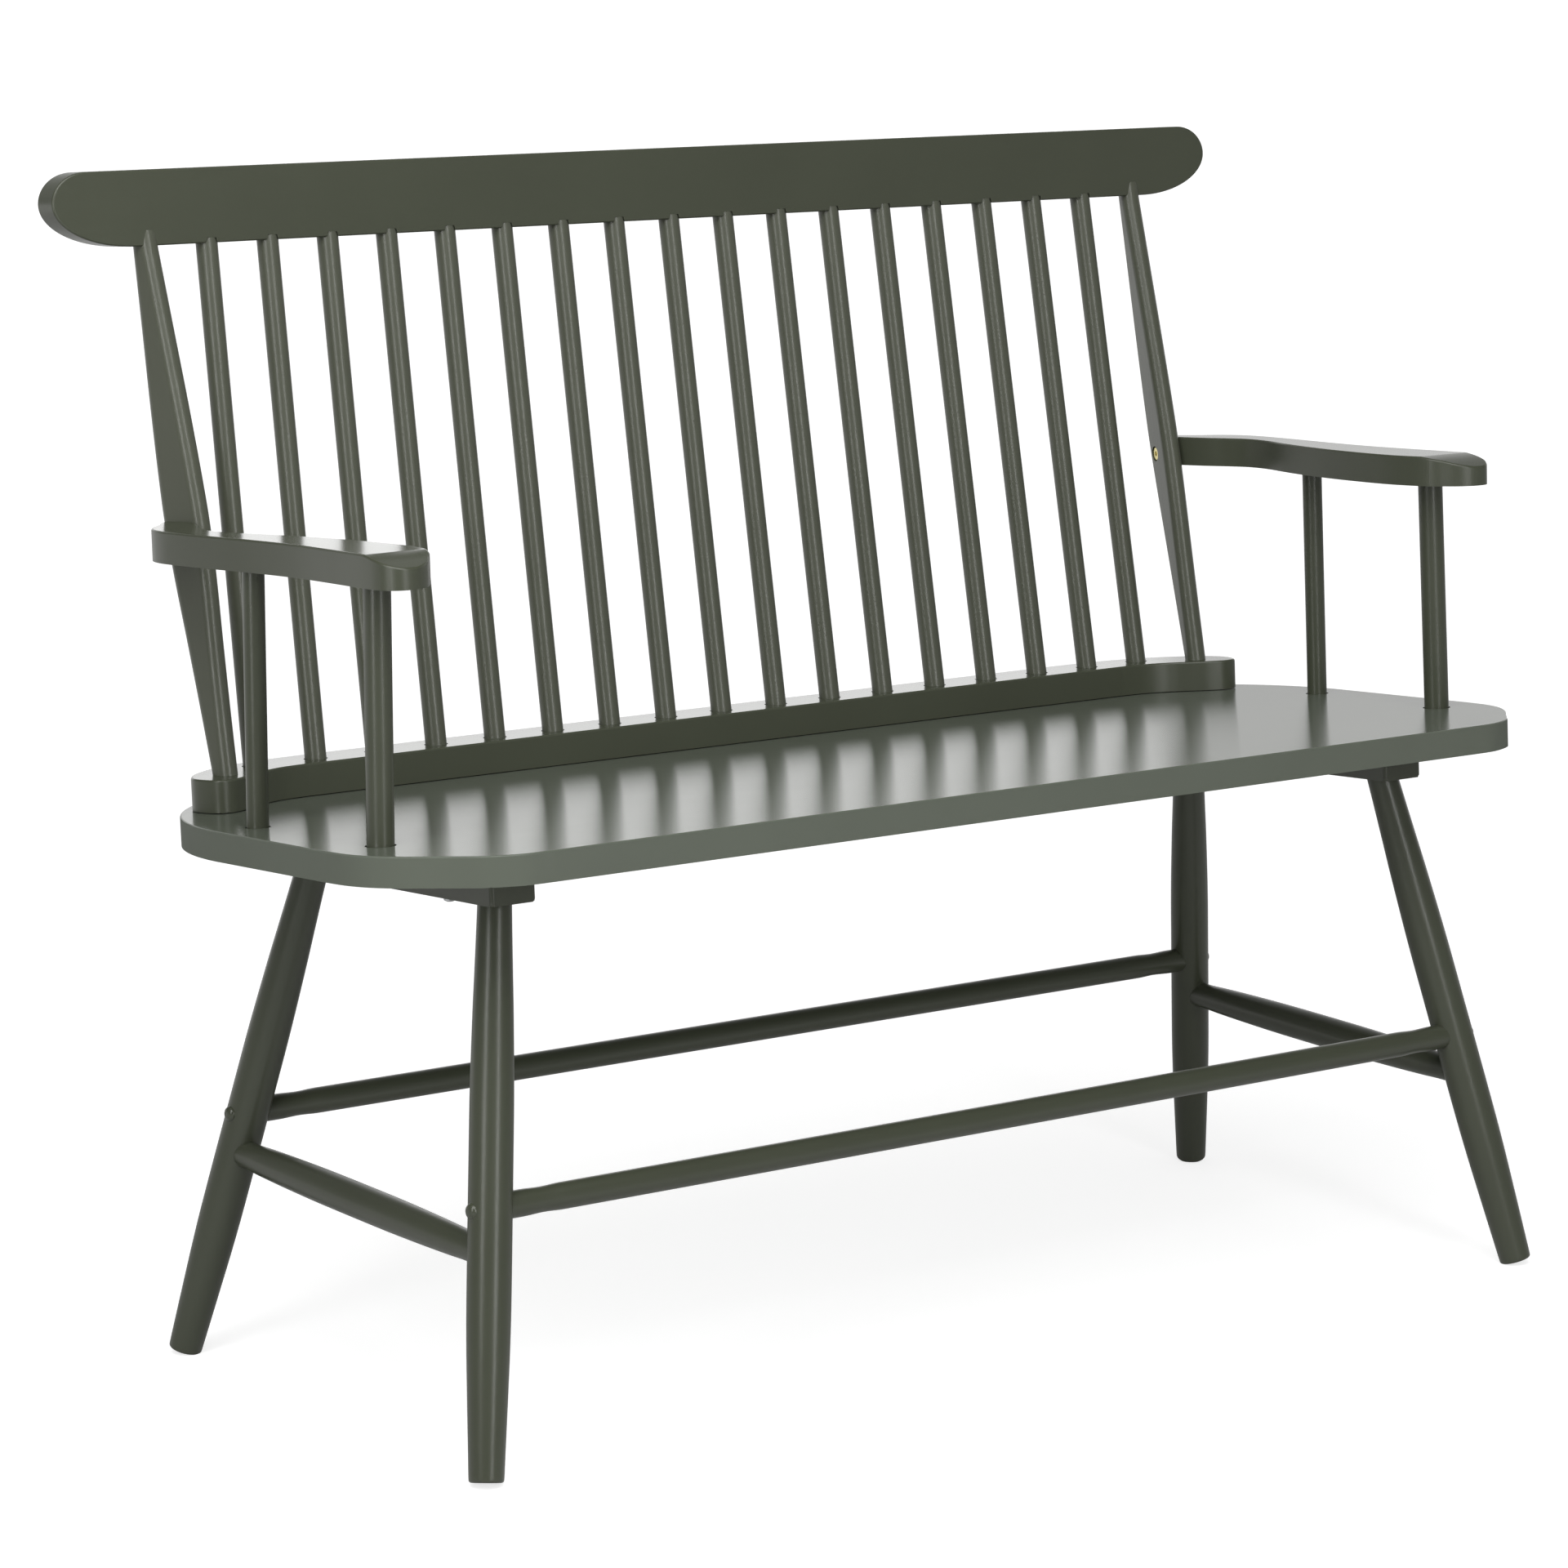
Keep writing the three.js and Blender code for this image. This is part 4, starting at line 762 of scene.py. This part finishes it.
def long_stretcher(row):
    top, foot = LEG_AXES[row]
    right = at_height(foot, top, LONG_HEIGHTS[row])
    left = flip_x(right)
    inset = leg_radius(row, right) - STRETCHER_INSET
    start, end = towards(left, right, inset), towards(right, left, inset)
    length = (end - start).length
    half = LONG_NECK_REACH / 2
    neck = []
    for step in range(LONG_NECK_STEPS + 1):
        share = step / LONG_NECK_STEPS
        dip = 0.5 - 0.5 * math.cos(2 * math.pi * share)
        neck.append((half + 2 * half * share, LONG_RADIUS - dip * (LONG_RADIUS - LONG_NECK_RADIUS)))
    profile = [(0, LONG_RADIUS)] + neck
    profile += [(length * share, LONG_RADIUS) for share in (0.25, 0.5, 0.75)]
    profile += [(length - distance, radius) for distance, radius in reversed(neck)] + [(length, LONG_RADIUS)]
    finished(f"{row}_long_stretcher", lathe(profile, sides=56), BENCH_FRAME @ axis_frame(start, end),
             ALONG_Z, [f"{row}_stretcher"])


def side_stretcher(side, word):
    ends = {row: at_height(LEG_AXES[row][1], LEG_AXES[row][0], SIDE_HEIGHTS[row]) for row in LEGS}
    front, rear = ends["front"], ends["rear"]
    start = towards(front, rear, leg_radius("front", front) - STRETCHER_INSET)
    end = towards(rear, front, leg_radius("rear", rear) - STRETCHER_INSET)
    if side < 0:
        start, end = flip_x(start), flip_x(end)
    length = (end - start).length
    swell = SIDE_RADIUS - SIDE_END_RADIUS
    half = [(share * length, SIDE_END_RADIUS + rise * swell)
            for share, rise in spline(SIDE_SHARES, SPLINE_STEPS)]
    profile = half + [(length - distance, radius) for distance, radius in reversed(half[:-1])]
    finished(f"{word}_cigar_stretcher", lathe(profile, sides=56), BENCH_FRAME @ axis_frame(start, end),
             ALONG_Z, [f"{word}_side_stretcher"])


# Fasteners that show

def stretcher_cap(side, word, row):
    top, foot = LEG_AXES[row]
    right = at_height(foot, top, LONG_HEIGHTS[row])
    seat_at = leg_radius(row, right) - BOLT_CAP_SUNK
    out = Vector((side, 0, 0))
    start = Vector((side * right.x, right.y, right.z)) + out * (seat_at - BOLT_CAP_BASE)
    profile = [(0, BOLT_CAP_RADIUS)]
    for step in range(10):
        angle = math.pi / 2 * step / 10
        rise = BOLT_CAP_BASE + BOLT_CAP_DOME * math.sin(angle)
        profile.append((rise, BOLT_CAP_RADIUS * math.cos(angle) ** 0.7))
    place = BENCH_FRAME @ axis_frame(start, start + out)
    finished(f"{word}_{row}_bolt_cap", lathe(profile, sides=40), place, CAP_PAINT,
             [f"{word}_{row}_stretcher_bolt"])


def arm_bolt(side, word):
    half = POST_THICKNESS / 2
    start, end = BOLT_MIDDLE + POST_OUT * (ARM_BOLT_SUNK - half), BOLT_MIDDLE
    if side < 0:
        start, end = flip_x(start), flip_x(end)
    place = SEAT_FRAME @ axis_frame(start, end)
    head, edge = ARM_BOLT_HEAD, ARM_BOLT_EDGE
    rim = []
    for step in range(6):
        angle = math.pi / 2 * step / 5
        rim.append((edge - edge * math.sin(angle), head - edge + edge * math.cos(angle)))
    profile = list(reversed(rim)) + [(ARM_BOLT_HEAD_END, head), (ARM_BOLT_SHANK_START, ARM_BOLT_SHANK),
                                     (ARM_BOLT_LENGTH, ARM_BOLT_SHANK)]
    key = lathe([(KEY_HOLE_START, KEY_HOLE_RADIUS), (KEY_HOLE_END, KEY_HOLE_RADIUS)], sides=6)
    finished(f"{word}_socket_bolt", lathe(profile, sides=48), place, BRASS, [f"{word}_arm_bolt"],
             cutters=[(key, place)])


def build():
    seat()
    lower_rail()
    crest()
    for index in range(SPINDLES):
        spindle(index)
    for side, word in ((1, "right"), (-1, "left")):
        cleat(side, word)
        back_post(side, word)
        arm(side, word)
        side_stretcher(side, word)
        arm_bolt(side, word)
        for row in LEGS:
            arm_post(side, word, row)
            leg(side, word, row)
            stretcher_cap(side, word, row)
    for row in LEGS:
        long_stretcher(row)
    for name, node in frame["nodes"].items():
        if "screw" in name or "stud" in name:
            node.data.materials.clear()
            node.data.materials.append(ZINC)


# Floor, light and camera, in metres and watts

# Each of these four: the level at the start, the level at the end, where it starts and where it ends
FLOOR_GLOW = (0.75, 0.96, 1, 5)
FLOOR_MIRRORED = (0.2, 0.9, 1.2, 3)
BACKDROP_MIRRORED = (0.25, 1, 0.45, 0.8)
HEIGHT_MIRRORED = (1, 0.35, 0.24, 0.4)
BACKDROP_SIDE = (0.596, 0.803, 0)
DIFFUSE_LEVEL = 0.35
FLOOR_REACH = 60

# Name, place, aim, width, height and power
LAMPS = [
    ("top", (-0.9, -1.3, 2.9), (0, 0, 0.5), 2.4, 2.0, 60),
    ("rear", (2.0, 3.3, 1.15), (0, 0, 0.5), 1.6, 1.0, 3.6),
    ("left", (-1.6, -0.56, 1.28), (-0.3, -0.05, 0.9), 0.27, 1.8, 9.5),
    ("front", (-0.3, -3.1, 1.38), (0, 0, 0.9), 0.45, 2.2, 25),
]

# Lens and sensor in millimetres, shift in shares of the frame
CAMERA_SPOT, CAMERA_AIM = Vector((-2.3808, -3.2634, 1.1415)), Vector((0, -0.0536, 0.4172))
CAMERA_LENS, CAMERA_SENSOR = 120.29, 36
CAMERA_SHIFT = (-0.0654, 0.0037)


def floor():
    """A pale floor with a glow of its own, which lightens with distance and shows less when mirrored."""
    mesh = bpy.data.meshes.new("floor")
    reach = FLOOR_REACH
    mesh.from_pydata([(-reach, -reach, 0), (reach, -reach, 0), (reach, reach, 0), (-reach, reach, 0)], [],
                     [(0, 1, 2, 3)])
    plane = bpy.data.objects.new("floor", mesh)
    bpy.context.scene.collection.objects.link(plane)
    material, nodes, links, shader = graph("pale_floor")
    shader.inputs["Base Color"].default_value = (0.5, 0.5, 0.5, 1)
    shader.inputs["Roughness"].default_value = 0.9
    shader.inputs["Specular IOR Level"].default_value = 0.1
    where = nodes.new("ShaderNodeTexCoord").outputs["Object"]
    distance = nodes.new("ShaderNodeVectorMath")
    distance.operation = "LENGTH"
    links.new(where, distance.inputs[0])
    glow = nodes.new("ShaderNodeEmission")
    links.new(ranged(nodes, links, distance.outputs["Value"], *FLOOR_GLOW), glow.inputs["Strength"])
    both = nodes.new("ShaderNodeAddShader")
    links.new(shader.outputs["BSDF"], both.inputs[0])
    links.new(glow.outputs["Emission"], both.inputs[1])
    share = ranged(nodes, links, part_of(nodes, links, where, "Y"), *FLOOR_MIRRORED)
    shown = seen_or_mirrored(nodes, links, share)
    surface = blended(nodes, links, shown, shader.outputs["BSDF"], both.outputs["Shader"])
    links.new(surface, nodes["Material Output"].inputs["Surface"])
    mesh.materials.append(material)


def seen_or_mirrored(nodes, links, mirrored_share):
    """1 for rays from the camera and rays through glass, and a share of 1 for mirrored rays."""
    path = nodes.new("ShaderNodeLightPath").outputs
    gloss = worked_out(nodes, links, "MULTIPLY", path["Is Glossy Ray"], mirrored_share)
    seen = worked_out(nodes, links, "MAXIMUM", path["Is Camera Ray"], path["Is Transmission Ray"])
    return worked_out(nodes, links, "MAXIMUM", seen, gloss)


def world():
    """White behind the bench, a plain level of light around it and less in the mirrored side."""
    made = bpy.data.worlds.new("studio")
    bpy.context.scene.world = made
    made.use_nodes = True
    nodes, links = made.node_tree.nodes, made.node_tree.links
    where = nodes.new("ShaderNodeTexCoord").outputs["Generated"]
    facing = nodes.new("ShaderNodeVectorMath")
    facing.operation = "DOT_PRODUCT"
    facing.inputs[1].default_value = BACKDROP_SIDE
    links.new(where, facing.inputs[0])
    backdrop = ranged(nodes, links, facing.outputs["Value"], *BACKDROP_MIRRORED, smooth=True)
    fading = ranged(nodes, links, part_of(nodes, links, where, "Z"), *HEIGHT_MIRRORED, smooth=True)
    mirrored_level = worked_out(nodes, links, "MULTIPLY", backdrop, fading)
    grounds = {}
    for word, strength in (("diffuse", DIFFUSE_LEVEL), ("mirrored", 1), ("seen", 1)):
        ground = nodes.new("ShaderNodeBackground")
        ground.inputs["Color"].default_value = (1, 1, 1, 1)
        ground.inputs["Strength"].default_value = strength
        grounds[word] = ground.outputs["Background"]
        if word == "mirrored":
            links.new(mirrored_level, ground.inputs["Strength"])
    path = nodes.new("ShaderNodeLightPath").outputs
    shown = grounds["diffuse"]
    for ray, word in (("Glossy", "mirrored"), ("Transmission", "seen"), ("Camera", "seen")):
        shown = blended(nodes, links, path[f"Is {ray} Ray"], shown, grounds[word])
    links.new(shown, nodes["World Output"].inputs["Surface"])


def soft_light(name, spot, aim, width, height, watts):
    data = bpy.data.lights.new(name, "AREA")
    data.shape = "RECTANGLE"
    data.size, data.size_y = width, height
    data.energy = watts
    lamp = bpy.data.objects.new(name, data)
    bpy.context.scene.collection.objects.link(lamp)
    lamp.location = spot
    lamp.rotation_euler = (Vector(aim) - Vector(spot)).to_track_quat("-Z", "Y").to_euler()


def lights():
    for lamp in LAMPS:
        soft_light(*lamp)


def camera():
    data = bpy.data.cameras.new("camera")
    data.lens, data.sensor_width = CAMERA_LENS, CAMERA_SENSOR
    data.shift_x, data.shift_y = CAMERA_SHIFT
    data.clip_end = FLOOR_REACH
    viewer = bpy.data.objects.new("camera", data)
    bpy.context.scene.collection.objects.link(viewer)
    viewer.location = CAMERA_SPOT
    viewer.rotation_euler = (CAMERA_AIM - CAMERA_SPOT).to_track_quat("-Z", "Y").to_euler()
    bpy.context.scene.camera = viewer


build()
floor()
world()
lights()
camera()
bpy.context.scene.view_settings.view_transform = "Standard"
